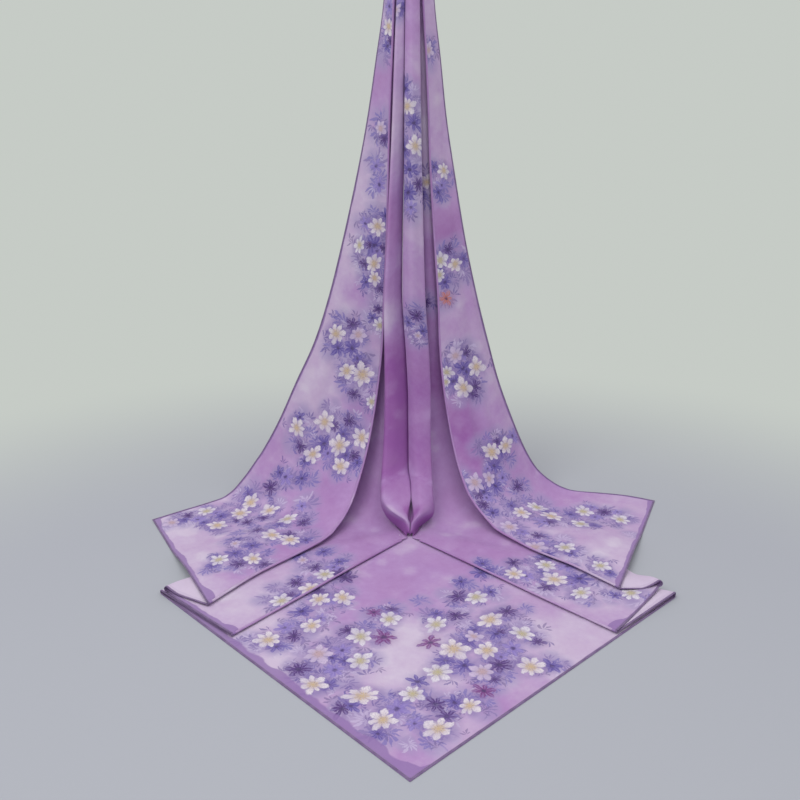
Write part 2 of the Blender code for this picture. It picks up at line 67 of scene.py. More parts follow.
# (out, front, up) of wing hem, wing fold, valley behind the wing, inner edge of the middle layer
foot = {
    "left": (
        ((499, 157, 0), (325, 471, 0), (400, 431, 0), (274, 544, 0)),
        ((454, 121, 0), (262, 379, 0), (335, 330, 0), (182, 438, 0)),
        ((418, 93, 0), (194, 302, 0), (256, 252, 0), (91, 331, 0)),
        ((386, 67, 4), (150, 240, 5), (205, 190, 0), (4, 232, 0)),
        ((371, 57, 10), (137, 217, 11), (185, 165, 5), (17, 208, 0)),
        ((355, 49, 20), (125, 195, 20), (165, 140, 12), (27, 184, 6)),
        ((337, 43, 40), (113, 172, 36), (148, 118, 26), (32, 162, 20)),
        ((318, 38, 66), (104, 152, 56), (133, 102, 48), (34, 138, 46)),
    ),
    "right": (
        ((495, 75, 0), (348, 423, 0), (412, 424, 0), (319, 536, 0)),
        ((446, 52, 0), (286, 353, 0), (352, 306, 0), (213, 435, 0)),
        ((398, 40, 0), (217, 277, 0), (276, 232, 0), (107, 331, 0)),
        ((343, 31, 6), (166, 222, 5), (214, 178, 0), (4, 232, 0)),
        ((321, 30, 11), (152, 204, 11), (192, 156, 5), (15, 208, 0)),
        ((299, 30, 19), (138, 186, 21), (170, 136, 12), (22, 184, 6)),
        ((278, 31, 34), (123, 168, 35), (152, 117, 26), (27, 162, 20)),
        ((256, 32, 58), (109, 150, 55), (136, 101, 48), (30, 138, 46)),
    ),
}

# section, then (out, front, up) of a pleat's rim, inner edge, valley and tucked underside
pleatFoot = {
    "left": (
        (3.25, (4, 226, 8), (0.5, 227, 8), (0, 225.5, 5), (7, 224, 5)),
        (3.6, (6.5, 222, 18), (0.6, 223.5, 17), (-0.2, 220, 11), (15, 215, 8)),
        (4.0, (12, 217, 29), (1.6, 219.5, 27), (-0.5, 213, 17), (24, 205, 12)),
        (4.5, (27, 211, 37), (5.4, 214, 35), (-0.8, 203, 24), (35, 193, 15)),
        (5.0, (41, 201, 43), (3.6, 202, 43), (-1.4, 187, 31), (45, 181, 21)),
        (6.0, (54, 183, 53), (-1.2, 178, 57), (-2, 158, 42), (54, 166, 36)),
        (7.0, (56, 164, 72), (-0.2, 155, 78), (-1.2, 128, 60), (54, 146, 60)),
    ),
    "right": (
        (3.25, (4, 226, 8), (0.5, 227, 8), (0, 225.5, 5), (6, 224, 5)),
        (3.6, (6.5, 222, 16), (1.0, 223.5, 15), (0.2, 220, 11), (11, 214, 8)),
        (4.0, (12, 217, 26), (2.6, 219.5, 25), (0.5, 213, 17), (18, 205, 11)),
        (4.5, (24, 210, 36), (8.0, 214, 34), (0.8, 203, 24), (29, 195, 15)),
        (5.0, (35, 200, 42), (7.0, 202, 42), (1.4, 187, 31), (42, 184, 21)),
        (6.0, (42, 181, 53), (2.8, 178, 57), (2, 158, 42), (47, 166, 36)),
        (7.0, (42, 163, 72), (2.2, 156, 78), (1.2, 128, 60), (46, 146, 60)),
    ),
}

# millimetres that the fold tips on the floor rise and open out
tipCurl = {"left": (1.6, 3.8), "right": (9.0, 3.6)}
underCurl = {"left": 1.2, "right": 2.8}
tipDip = {"left": 6.0, "right": 5.0}

# up, then front of hem, fold, valley, inner, pleat outer, pleat inner, middle valley
hangFront = (
    (100, 34, 122, 80, 108, 142, 136, 80),
    (160, 31, 99, 64, 84, 116, 112, 60),
    (240, 29, 83, 52, 66, 99, 97, 48),
    (320, 28, 74, 45, 56, 92, 91, 42),
    (410, 28, 68, 41, 50, 88, 87, 38),
    (520, 28, 64, 38, 46, 84, 83, 35),
    (640, 28, 61, 37, 43, 80, 80, 34),
    (735, 29, 59, 36, 41, 78, 78, 33),
    (835, 30, 57, 36, 40, 75, 75, 32),
    (930, 31, 55, 36, 40, 71, 71, 32),
    (1060, 32, 52, 36, 40, 66, 66, 32),
    (1180, 33, 48, 35, 40, 58, 59, 32),
)

# out of the same seven lines
hangOut = {
    "left": (
        (295, 89, 112, 34, 54, 5, 2.5),
        (262, 75, 98, 33, 50, 5, 3),
        (225, 62, 85, 32, 48, 6, 4),
        (187, 53, 76, 32, 48, 11, 8),
        (156, 49, 70, 31, 48, 19, 14),
        (126, 43, 62, 27, 42, 19, 13.5),
        (97, 39, 54, 23, 35, 17, 11),
        (77, 36, 49, 20, 30, 16, 10),
        (60, 31, 42, 18, 26, 15, 9),
        (45, 27, 34, 15, 22, 13, 8),
        (34, 20, 25, 12, 17, 9, 5),
        (28, 15, 19, 9, 13, 4, 0.5),
    ),
    "right": (
        (232, 92, 116, 30, 40, 0, -2.5),
        (206, 78, 102, 28, 38, -1, -3),
        (176, 65, 87, 26, 38, -2, -4),
        (153, 57, 77, 23, 34, -6, -8),
        (129, 53, 71, 19, 27, -9, -14),
        (104, 45, 61, 16, 23, -8, -13.5),
        (82, 37, 51, 14, 20, -6, -11),
        (66, 33, 45, 13, 18, -5, -10),
        (54, 28, 39, 12, 16, -4, -9),
        (42, 22, 30, 10, 15, -3, -8),
        (33, 18, 23, 9, 14, -1, -5),
        (28, 14, 18, 8, 13, 3, -0.5),
    ),
}

lineNames = ("hem", "fold", "valley", "inner", "outerEdge", "innerEdge", "centre")
pleatTop = 7.0
firstHanging = len(foot["left"])
lastSection = firstHanging + len(hangFront) - 1
pleatStart = pleatFoot["left"][0][0]
joinSection = 3


def smoothstep(value):
    value = min(max(value, 0.0), 1.0)
    return value * value * (3.0 - 2.0 * value)


def ramp(value, low, high):
    return smoothstep((value - low) / (high - low))


def mix(first, second, share):
    return first + (second - first) * share


class FoldLine:
    def __init__(self, knots, points, corner=None):
        self.knots = knots
        self.points = [Vector(point) for point in points]
        self.corner = corner

    def slope(self, index, after):
        low = max(index - 1, 0)
        high = min(index + 1, len(self.knots) - 1)
        if index == self.corner:
            low, high = (index, high) if after else (low, index)
        return (self.points[high] - self.points[low]) / (self.knots[high] - self.knots[low])

    def at(self, section):
        index = 0
        while index < len(self.knots) - 2 and section > self.knots[index + 1]:
            index += 1
        span = self.knots[index + 1] - self.knots[index]
        share = (section - self.knots[index]) / span
        square = share * share
        cube = square * share
        return (
            self.points[index] * (2 * cube - 3 * square + 1)
            + self.slope(index, True) * span * (cube - 2 * square + share)
            + self.points[index + 1] * (3 * square - 2 * cube)
            + self.slope(index + 1, False) * span * (cube - square)
        )


def sideLines(side):
    lines = {}
    for column, name in enumerate(lineNames):
        if column < 4:
            knots = [float(row) for row in range(firstHanging)]
            points = [row[column] for row in foot[side]]
        else:
            knots = [row[0] for row in pleatFoot[side]]
            points = [row[column - 3] for row in pleatFoot[side]]
        for row, frontRow in enumerate(hangFront):
            knots.append(float(firstHanging + row))
            points.append((hangOut[side][row][column], frontRow[column + 1], frontRow[0]))
        lines[name] = FoldLine(knots, points, joinSection if name == "inner" else None)
    rows = pleatFoot[side]
    lines["underside"] = FoldLine([row[0] for row in rows], [row[4] for row in rows])
    return lines


def restHeight(side, out, front):
    onFloor = cloth["wall"] / 2
    fromJoin = math.hypot(out, front - cloth["join"])
    nearJoin = ramp(fromJoin, cloth["joinSmall"], cloth["joinWide"])
    onStack = mix(cloth["wall"] * 2, onFloor + 4 * cloth["foldRadius"], nearJoin)
    tipOut, tipFront = cloth["panelTip"][side]
    edge = cloth["nose"] + (tipFront - cloth["nose"]) * abs(out) / tipOut
    return mix(onStack, onFloor, smoothstep((edge - front) / cloth["runoff"]))


def place(side, out, front, up):
    return Vector((
        sides[side] * out * mm,
        (cloth["holdFront"] - front) * mm,
        (max(up, cloth["wall"] / 2) - cloth["hang"]) * mm,
    ))


class Side:
    def __init__(self, side):
        self.side = side
        self.lines = sideLines(side)

    def curl(self, section):
        rise, opening = tipCurl[self.side]
        near = 1.0 - ramp(section, 0.0, 0.55)
        return rise * near, opening * near

    def valley(self, section):
        out, front, up = self.lines["valley"].at(section)
        return place(self.side, out, front, up + restHeight(self.side, out, front) + self.curl(section)[0])

    def fold(self, section):
        out, front, up = self.lines["fold"].at(section)
        level = restHeight(self.side, out, front) + 3 * cloth["foldRadius"] + cloth["clearance"]
        return place(self.side, out, front, up + level)

    def hem(self, section):
        out, front, up = self.lines["hem"].at(section)
        return place(self.side, out, front, up + cloth["wall"] / 2)

    def lift(self, point, height):
        out = point.x / mm * sides[self.side]
        front = cloth["holdFront"] - point.y / mm
        lowest = restHeight(self.side, out, front) + height - cloth["hang"]
        return Vector((point.x, point.y, max(point.z, lowest * mm)))

    def frame(self, section):
        low = max(section - 0.2, 0.0)
        high = min(section + 0.2, float(lastSection))
        across = (self.fold(section) - self.valley(section)).normalized()
        ahead = self.valley(high) + self.fold(high)
        behind = self.valley(low) + self.fold(low)
        face = across.cross((ahead - behind).normalized()).normalized() * -sides[self.side]
        return across, face


def halfTurn(centre, across, face, radius, steps, outward):
    points = []
    for step in range(steps + 1):
        angle = math.pi * step / steps
        offset = across * (outward * math.sin(angle)) - face * math.cos(angle)
        points.append(centre + offset * radius)
    return points


def evenSections(line, start, stop, spacing):
    # stops along a fold line at an even distance, in millimetres
    stops = [start]
    fine = 0.01
    last = line.at(start)
    walked = 0.0
    section = start
    while section < stop - fine:
        section += fine
        here = line.at(section)
        walked += (here - last).length
        last = here
        if walked >= spacing:
            stops.append(section)
            walked = 0.0
    if stop - stops[-1] < 0.02:
        stops.pop()
    stops.append(stop)
    return stops


print("stage: tables ready")

# fine rows of each stretch, from the same lines as the solids
# the hanging middle layer swells forward between pleat and wing, as far as its width allows
middleLayer = {
    "columns": 34,
    "swell": {"left": 4.0, "right": 15.0},
    "shareOfWidth": (0.2, 0.40),
    "widthSections": (10.5, 13.0),
    "swellSections": (8.0, 11.0),
    "crown": 0.85,
}


def middleRow(layers, section):
    columns = middleLayer["columns"]
    inner = layers.lines["inner"].at(section)
    outer = layers.lines["valley"].at(section)
    share = mix(*middleLayer["shareOfWidth"], ramp(section, *middleLayer["widthSections"]))
    swell = min(middleLayer["swell"][layers.side], share * (outer.x - inner.x))
    swell *= ramp(section, *middleLayer["swellSections"])
    row = []
    for column in range(columns + 1):
        out, front, up = mix(inner, outer, column / columns)
        curl = layers.curl(section)[0] * (column / columns) ** 4
        front += swell * math.sin(math.pi * (column / columns) ** middleLayer["crown"])
        row.append(place(layers.side, out, front, up + restHeight(layers.side, out, front) + curl))
    return row


wingReturn = {"columns": 10, "turnSteps": 8, "dipEnd": 1.2, "hollow": 2.6}


def returnRow(layers, section):
    columns = wingReturn["columns"]
    across, face = layers.frame(section)
    radius = cloth["foldRadius"] * mm
    opened = radius + layers.curl(section)[1] * mm
    start = layers.valley(section) + face * opened
    row = halfTurn(start, across, face, opened, wingReturn["turnSteps"], -1.0)
    high = halfTurn(layers.fold(section), across, face, radius, wingReturn["turnSteps"], 1.0)
    low = row[-1]
    dip = tipDip[layers.side] * mm * (1.0 - ramp(section, 0.0, wingReturn["dipEnd"]))
    for column in range(1, columns):
        share = column / columns
        point = low.lerp(high[0], share)
        point.z = mix(low.z, high[0].z, 1.0 - (1.0 - share) ** wingReturn["hollow"])
        point.z -= dip * math.sin(math.pi * share)
        row.append(layers.lift(point, 2 * cloth["foldRadius"] + cloth["clearance"] / 2))
    return row + high


# the wing lies on the floor near its hem, hangs higher up and bellies forward between
wing = {
    "columns": 56,
    "lyingEnds": (2.0, 5.5),
    "slopeShares": (0.30, 0.66),
    "belly": 7.0,
    "bellySections": (4.5, 7.5),
    "fadeSections": (8.0, 16.0),
    "bellyAtTop": 0.25,
}


def wingRow(layers, section):
    columns = wing["columns"]
    face = layers.frame(section)[1]
    start = layers.fold(section) + face * cloth["foldRadius"] * mm
    end = layers.hem(section)
    floorLevel = (cloth["wall"] / 2 - cloth["hang"]) * mm
    lying = 1.0 - ramp(section, *wing["lyingEnds"])
    fade = mix(1.0, wing["bellyAtTop"], ramp(section, *wing["fadeSections"]))
    belly = wing["belly"] * mm * ramp(section, *wing["bellySections"]) * fade
    row = []
    for column in range(columns + 1):
        share = column / columns
        point = start.lerp(end, share)
        resting = mix(start.z, floorLevel, ramp(share, *wing["slopeShares"]))
        point.z = mix(point.z, resting, lying)
        point.y -= math.sin(math.pi * share) * belly
        row.append(point)
    return row


pleat = {
    "belly": 11.0,
    "bellyShare": 0.35,
    "setBack": 13.0,            # the left pleat alone lies further back
    "setBackSections": (13.0, 17.0),
    "shallow": 0.58,            # how far the hanging valley is filled, and its edge drawn in
    "shallowSections": (5.5, 8.0),
    "edgeIn": 0.84,
    "edgeSections": (6.6, 8.0),
    "crown": {"left": 0.16, "right": 0.55},
    "valleyHalf": 2.3,
    "rounding": 5.0,
    "turn": 3.0,
    "turnSteps": 4,
    "tuckedBelow": 5.4,
    "steps": (2, 2, 2, 2, 4, 5, 8, 8, 3, 4, 6, 3, 2),
}


def pleatRow(layers, section):
    innerLine = layers.lines["inner"]
    inner = innerLine.at(section)
    ahead = innerLine.at(min(section + 0.2, lastSection))
    behind = innerLine.at(section - 0.2)
    climb = math.atan2(ahead.z - behind.z, behind.y - ahead.y)
    face = Vector((0.0, math.sin(climb), math.cos(climb)))
    inner.z += restHeight(layers.side, inner.x, inner.y)
    outerEdge = layers.lines["outerEdge"].at(section)
    innerEdge = layers.lines["innerEdge"].at(section)
    centre = layers.lines["centre"].at(section)
    shallow = ramp(section, *pleat["shallowSections"])
    centre.y = mix(centre.y, innerEdge.y, pleat["shallow"] * shallow)
    innerEdge.x = mix(innerEdge.x, centre.x, pleat["edgeIn"] * ramp(section, *pleat["edgeSections"]))
    if layers.side == "left":
        innerEdge.y -= pleat["setBack"] * shallow * (1.0 - ramp(section, *pleat["setBackSections"]))
    width = outerEdge.x - innerEdge.x
    frontWay = (innerEdge - centre).normalized()
    bulge = (face * 0.4 + frontWay).normalized() * min(pleat["belly"], width * pleat["bellyShare"])
    valleyHalf = min(pleat["valleyHalf"], width * 0.3)
    rounding = min(pleat["rounding"], width * 0.4)
    outward = Vector((1.0, 0.0, 0.0))
    room = inner.x - centre.x - valleyHalf - cloth["turnGap"] - cloth["foldRadius"]
    reach = (outerEdge - inner).length
    turn = min(max(min(room * 0.75, reach * 0.25), 1.0), pleat["turn"])
    turnCentre = inner - outward * cloth["seamGap"] + face * turn
    valleyCentre = centre + frontWay * valleyHalf
    valleySide = valleyCentre + outward * valleyHalf
    flank = mix(inner + face * (2 * turn), outerEdge, 0.55) + outward * (width * 0.1)
    if section < pleatTop:
        tucked = layers.lines["underside"].at(section)
        flank = mix(tucked, flank, ramp(section, pleat["tuckedBelow"], pleatTop))
    innerSide = innerEdge.lerp(valleySide, 0.5)
    innerSide.x = mix(innerEdge.x, valleySide.x, 0.4)
    knees = halfTurn(turnCentre, -outward, face, turn, pleat["turnSteps"], 1.0)
    knees += [
        flank,
        outerEdge,
        mix(outerEdge, innerEdge, pleat["crown"][layers.side]) + bulge,
        innerEdge + (outward + frontWay) * (rounding / 2),
        innerEdge - frontWay * (rounding / 2),
        innerSide,
        valleySide,
        valleyCentre + (outward - frontWay) * (valleyHalf * math.sqrt(0.5)),
        centre + outward * cloth["seamGap"],
    ]
    knots = [0.0]
    for knee, nextKnee in zip(knees, knees[1:]):
        knots.append(knots[-1] + math.sqrt((nextKnee - knee).length))
    line = FoldLine(knots, knees)
    row = []
    for index, steps in enumerate(pleat["steps"]):
        for step in range(steps):
            row.append(place(layers.side, *line.at(mix(knots[index], knots[index + 1], step / steps))))
    row.append(place(layers.side, *knees[-1]))
    return row


turnUnder = {"columns": 8, "turnSteps": 8, "rows": 64, "reach": 0.955, "curlEnd": 0.24}


def underRow(layers, share):
    side = layers.side
    columns = turnUnder["columns"]
    tipOut, tipFront = cloth["panelTip"][side]
    middle = cloth["wall"] / 2
    inner = layers.lines["inner"].at(share * joinSection)
    level = restHeight(side, inner.x, inner.y)
    radius = min(cloth["foldRadius"], (level - middle - 0.4) / 2)
    opened = radius + underCurl[side] * (1.0 - ramp(share, 0.0, turnUnder["curlEnd"]))
    low = place(side, mix(tipOut, 0.0, share), mix(tipFront, cloth["nose"], share), middle + opened)
    nose = place(side, 0.0, cloth["nose"], middle)
    up = Vector((0.0, 0.0, 1.0))
    behind = up.cross(place(side, tipOut, tipFront, middle) - nose).normalized() * sides[side]
    high = place(side, inner.x, inner.y, level - radius)
    row = halfTurn(low, -behind, up, opened * mm, turnUnder["turnSteps"], -1.0)
    top = halfTurn(high, -behind, up, radius * mm, turnUnder["turnSteps"], 1.0)
    start = row[-1]
    for column in range(1, columns):
        row.append(start.lerp(top[0], column / columns))
    return row + top


def panelRows(count):
    corner = place("left", 0.0, cloth["corner"], 0.0)
    nose = place("left", 0.0, cloth["nose"], 0.0)
    left = place("left", *cloth["panelTip"]["left"], 0.0)
    right = place("right", *cloth["panelTip"]["right"], 0.0)
    rows = []
    for index in range(count + 1):
        share = index / count
        start = corner.lerp(left, share)
        end = right.lerp(nose, share)
        rows.append([start.lerp(end, column / count) for column in range(count + 1)])
    return rows


nearFloor = -1.12


# a stretch of cloth, with its flat coordinates
class Stretch:
    def __init__(self, name, rows, hems=None, plan=False):
        self.name = name
        self.rows = rows
        self.hems = hems or {}
        self.across = []
        for row in rows:
            walked = [0.0]
            for point, after in zip(row, row[1:]):
                walked.append(walked[-1] + (after - point).length)
            self.across.append(walked)
        self.along = [[0.0] * len(rows[0])]
        for row, after in zip(rows, rows[1:]):
            last = self.along[-1]
            steps = [(b - a).length for a, b in zip(row, after)]
            self.along.append([x + y for x, y in zip(last, steps)])
        self.flat = self.planFlat() if plan else self.developed()

    def planFlat(self):
        return [[(point.x, point.y) for point in row] for row in self.rows]

    def developed(self):
        # both long edges are laid out flat from their lengths and diagonals
        first = Vector((0.0, 0.0))
        last = Vector((self.across[0][-1], 0.0))
        edges = [(first, last)]
        for index in range(1, len(self.rows)):
            before, here = self.rows[index - 1], self.rows[index]
            newFirst = meet(first, (here[0] - before[0]).length, last, self.reach(index, 0, -1))
            width = self.across[index][-1]
            newLast = meet(newFirst, width, last, (here[-1] - before[-1]).length)
            first, last = newFirst, newLast
            edges.append((first, last))
        flat = []
        for (start, end), walked in zip(edges, self.across):
            total = walked[-1] or 1.0
            flat.append([tuple(start.lerp(end, way / total)) for way in walked])
        return flat

    def reach(self, index, first, last):
        # the diagonal of one strip, from its two widths and its step
        before, here = self.rows[index - 1], self.rows[index]
        straight = (here[first] - before[last]).length
        chord = (before[first] - before[last]).length
        return straight + self.across[index - 1][-1] - chord

    def hemDistance(self, row, column):
        # a larger factor makes the printed band narrower
        ways = [1.0]
        if "start" in self.hems:
            ways.append(self.along[row][column] * self.hems["start"])
        if "side" in self.hems:
            ways.append((self.across[row][-1] - self.across[row][column]) * self.hems["side"])
        if "left" in self.hems:
            offset = self.rows[row][column] - self.rows[0][0]
            ways.append(abs(offset.dot(leftIn)) * self.hems["left"])
            ways.append(abs(offset.dot(rightIn)) * self.hems["right"])
        return min(ways)

    def above(self, x, y):
        # flat place of the cloth that lies nearest to a point of the floor, not hanging high over it
        best = min(
            ((point.x - x) ** 2 + (point.y - y) ** 2 + max(point.z - nearFloor, 0.0) ** 2, r, c)
            for r, row in enumerate(self.rows)
            for c, point in enumerate(row)
        )
        return self.flat[best[1]][best[2]]

    def at(self, along, across):
        # flat place of a point that is so far along the first edge and across from it
        row = 0
        while row < len(self.rows) - 1 and self.along[row][0] < along:
            row += 1
        walked = self.across[row]
        column = 0
        while column < len(walked) - 1 and walked[column] < across:
            column += 1
        return self.flat[row][column]


# soft creases: start, end, half width and height in millimetres, by flat place
creases = {
    "front_panel": {"plan": (
        (-1.5, 25.0, -17.0, 52.0, 13, 1.3), (2.0, 25.5, 13.0, 47.0, 10, 1.0),
        (-24.0, 47.0, -9.0, 60.0, 15, 0.9), (26.0, 50.0, 12.0, 66.0, 17, 1.0),
        (-3.0, 52.0, 3.0, 74.0, 21, 0.8), (-14.0, 66.0, -4.0, 78.0, 11, 0.7),
        (33.0, 47.0, 21.0, 53.5, 9, 0.8), (6.0, 31.0, 19.0, 42.0, 8, 0.8),
    )},
    "left_middle_layer": {"plan": (
        (-4.0, 23.5, -13.5, 34.0, 7, 0.7), (-9.0, 21.5, -21.0, 36.0, 9, 0.6),
        (-30.0, 40.5, -37.0, 44.0, 8, 0.6),
    ), "hung": ((46.0, 5.0, 80.0, 2.4, 9, 2.2), (52.0, 8.2, 92.0, 4.6, 8, -2.0))},
    "right_middle_layer": {"plan": (
        (4.0, 23.5, 14.5, 34.5, 8, 0.8), (8.0, 21.5, 24.0, 38.0, 7, 0.7),
        (27.0, 37.0, 38.0, 44.5, 10, 0.7),
    ), "hung": ((44.0, 4.0, 84.0, 2.0, 9, 2.4), (55.0, 8.4, 100.0, 4.4, 9, -2.0))},
    "left_wing": {"plan": (
        (-22.0, 17.0, -36.0, 33.0, 15, 1.4), (-34.0, 11.0, -46.0, 19.0, 12, 1.2),
        (-18.0, 21.0, -25.0, 38.0, 10, 1.1),
    ), "hung": (
        (40.0, 6.0, 73.0, 3.2, 13, 3.4), (47.0, 14.0, 96.0, 3.4, 17, 4.6),
        (58.0, 9.5, 118.0, 2.2, 10, -2.8), (66.0, 3.0, 108.0, 1.6, 7, 1.8),
        (35.0, 16.0, 52.0, 17.5, 14, 3.0),
    )},
    "right_wing": {"plan": (
        (19.0, 13.0, 33.0, 29.0, 13, 1.3), (27.0, 7.5, 44.0, 14.0, 12, 1.3),
        (31.0, 20.5, 36.0, 36.0, 9, 0.9),
    ), "hung": (
        (38.0, 4.5, 70.0, 3.0, 12, 3.2), (44.0, 12.5, 90.0, 4.0, 15, 4.2),
        (56.0, 7.6, 112.0, 2.6, 9, -2.6), (42.0, 8.5, 60.0, 7.0, 10, 2.6),
    )},
    "left_centre_pleat": {"hung": (
        (14.0, 6.4, 58.0, 5.4, 6, 1.1), (26.0, 8.2, 88.0, 6.2, 5, -1.0),
        (62.0, 4.4, 104.0, 3.8, 5, 0.9),
    )},
    "right_centre_pleat": {"hung": (
        (12.0, 7.4, 66.0, 6.2, 7, 1.3), (30.0, 5.2, 92.0, 4.8, 5, -0.9),
        (70.0, 7.8, 110.0, 5.6, 5, 1.0),
    )},
}


# over how many metres the creases fade out before a fold, a hem and the hold
creaseFade = {"edge": 0.014, "hem": 0.012, "hold": 0.03}


def addCreases(node, stretch, outward):
    # relief along the cloth's normal, faded at the edges where stretches meet
    points = np.array([[tuple(point) for point in row] for row in stretch.rows])
    flat = np.array(stretch.flat)
    across = np.array(stretch.across)
    along = np.array(stretch.along)
    normal = np.cross(np.gradient(points, axis=1), np.gradient(points, axis=0))
    normal /= np.maximum(np.linalg.norm(normal, axis=2, keepdims=True), 1e-9)
    r, c = int(outward[0] * len(points)), int(outward[1] * points.shape[1])
    if normal[r, c].dot(outward[2]) < 0.0:
        normal = -normal
    height = np.zeros(points.shape[:2])
    for kind in ("plan", "hung"):
        for x0, y0, x1, y1, width, rise in creases.get(node, {}).get(kind, ()):
            start = np.array(flatSpot(stretch, (x0, y0), kind == "plan"))
            end = np.array(flatSpot(stretch, (x1, y1), kind == "plan"))
            way = end - start
            share = ((flat - start) @ way / way.dot(way)).clip(0.0, 1.0)
            away = np.linalg.norm(flat - start - share[:, :, None] * way, axis=2) / (width * mm)
            swell = 0.35 + 0.65 * np.sin(share * math.pi * 0.86 + 0.3)
            height += rise * mm * np.exp(-away ** 2) * swell
    edge = np.minimum(across, across[:, -1:] - across).clip(0.0, creaseFade["edge"]) / creaseFade["edge"]
    hem = np.minimum(along, creaseFade["hem"]) / creaseFade["hem"]
    last = (along[-1:] - along).clip(0.0, creaseFade["hold"]) / creaseFade["hold"]
    height *= edge ** 2 * (3 - 2 * edge) * hem * last
    points += normal * height[:, :, None]
    stretch.rows = [[Vector(point) for point in row] for row in points]


def meet(first, firstWay, second, secondWay):
    # where two distances meet, on the side that the cloth grows to
    link = second - first
    gap = max(link.length, 1e-6)
    ahead = (firstWay ** 2 - secondWay ** 2 + gap ** 2) / (2 * gap)
    ahead = min(max(ahead, -firstWay), firstWay)
    height = math.sqrt(max(firstWay ** 2 - ahead ** 2, 0.0))
    direction = link / gap
    side = Vector((-direction.y, direction.x))
    return first + direction * ahead + side * height


def trimStart(rows, distance):
    for column, point in enumerate(rows[0]):
        rows[0][column] = point + (rows[1][column] - point).normalized() * distance * mm


def trimEnd(rows, distance):
    for row in rows:
        row[-1] = row[-1] + (row[-2] - row[-1]).normalized() * distance * mm


# the print: flowers listed one by one, in centimetres
# "plan" rows are (x, front of the wall, size, kind) for cloth that lies on the floor
# "hung" rows are (way up the first edge, way across, size, kind)
# kinds: w white, c white with a beige heart, p pale pink
whiteBlooms = {
    "front_panel": {"plan": (
        (-11.0, 43.3, 4.6, "c"), (-3.3, 49.6, 4.4, "w"), (4.1, 50.9, 4.6, "w"),
        (11.0, 43.4, 4.4, "w"), (12.4, 49.6, 5.4, "c"), (17.3, 53.4, 4.5, "w"),
        (-7.6, 53.9, 5.0, "w"), (6.7, 57.2, 5.4, "c"), (11.7, 57.8, 4.6, "c"),
        (-21.6, 54.8, 4.4, "c"), (-15.3, 51.2, 4.2, "c"), (-13.7, 58.5, 4.5, "p"),
        (-7.2, 60.4, 4.4, "w"), (4.1, 63.0, 4.4, "w"), (17.6, 61.8, 4.5, "c"),
        (-13.6, 65.8, 4.4, "c"), (-6.8, 67.9, 5.1, "c"), (-3.8, 73.2, 4.4, "c"),
        (4.0, 74.7, 4.9, "c"), (8.1, 70.1, 3.9, "c"), (0.3, 68.0, 4.0, "w"),
        (10.5, 62.7, 4.0, "p"), (9.8, 54.0, 3.0, "p"), (-15.0, 43.6, 4.4, "c"),
    )},
    "left_middle_layer": {"plan": (
        (-19.0, 32.6, 2.6, "p"), (-14.6, 37.0, 4.2, "w"), (-16.4, 41.6, 4.9, "c"),
        (-20.9, 45.2, 4.2, "w"),
    )},
    "right_middle_layer": {"plan": (
        (23.4, 34.0, 4.2, "w"), (17.9, 37.0, 4.1, "c"), (24.1, 38.7, 5.1, "c"),
        (28.2, 43.1, 4.3, "w"), (36.2, 43.2, 4.0, "w"),
    ), "hung": ((114.3, 2.0, 3.0, "c"),)},
    "left_wing": {"plan": (
        (-45.6, 17.0, 3.9, "p"), (-40.0, 12.0, 4.1, "w"), (-37.0, 18.0, 4.3, "c"),
        (-31.8, 9.4, 4.4, "c"), (-33.1, 13.2, 4.8, "c"), (-27.6, 13.2, 4.1, "c"),
        (-23.4, 18.0, 4.3, "w"), (-25.4, 24.6, 4.7, "c"), (-21.6, 26.0, 4.5, "c"),
        (-33.6, 33.4, 3.9, "w"), (-27.5, 33.0, 4.3, "c"), (-31.8, 27.8, 2.7, "p"),
    ), "hung": (
        (90.4, 1.5, 3.7, "c"), (87.3, 5.0, 3.2, "w"), (83.7, 2.0, 3.9, "c"),
        (81.0, 1.7, 3.1, "c"), (72.3, 0.3, 3.0, "w"), (70.0, 9.0, 3.9, "c"),
        (70.0, 4.6, 3.9, "p"), (63.3, 6.2, 4.2, "c"), (62.4, 3.0, 5.0, "c"),
        (57.0, 0.6, 3.0, "w"), (50.4, 15.4, 4.2, "c"), (52.8, 9.4, 4.3, "c"),
        (48.4, 5.4, 4.7, "c"), (50.0, 1.2, 4.3, "c"), (45.4, 10.6, 4.2, "c"),
        (43.6, 4.2, 4.0, "c"), (124.3, 0.8, 3.1, "c"), (107.6, 1.6, 2.9, "p"),
    )},
    "right_wing": {"plan": (
        (25.2, 11.8, 4.3, "w"), (21.3, 15.4, 4.1, "c"), (27.3, 15.5, 4.9, "c"),
        (34.4, 12.2, 4.3, "w"), (32.5, 18.4, 4.3, "w"), (40.6, 16.0, 4.3, "w"),
        (18.7, 21.2, 4.2, "p"), (22.4, 28.0, 4.6, "p"), (27.9, 28.7, 4.1, "w"),
        (32.6, 35.3, 3.8, "w"),
    ), "hung": (
        (81.5, 0.7, 3.5, "w"), (81.3, 3.8, 3.5, "c"), (78.8, 0.3, 2.8, "w"),
        (63.8, 2.7, 3.5, "p"), (61.0, 7.2, 3.9, "c"), (60.5, 0.6, 3.5, "w"),
        (58.2, 0.3, 2.7, "w"), (57.0, 3.6, 4.4, "c"), (43.5, 7.5, 4.9, "c"),
        (44.2, 11.4, 4.1, "c"), (38.3, 1.9, 4.1, "p"), (38.2, 5.4, 3.2, "p"),
        (98.0, 2.8, 3.4, "c"), (118.0, 0.3, 3.0, "p"),
    )},
    "left_centre_pleat": {"hung": ((98.6, 3.6, 2.2, "p"),)},
    "right_centre_pleat": {"hung": (
        (83.3, 6.7, 3.8, "c"), (77.0, 5.2, 3.7, "c"), (42.6, 6.2, 1.9, "p"),
    )},
}

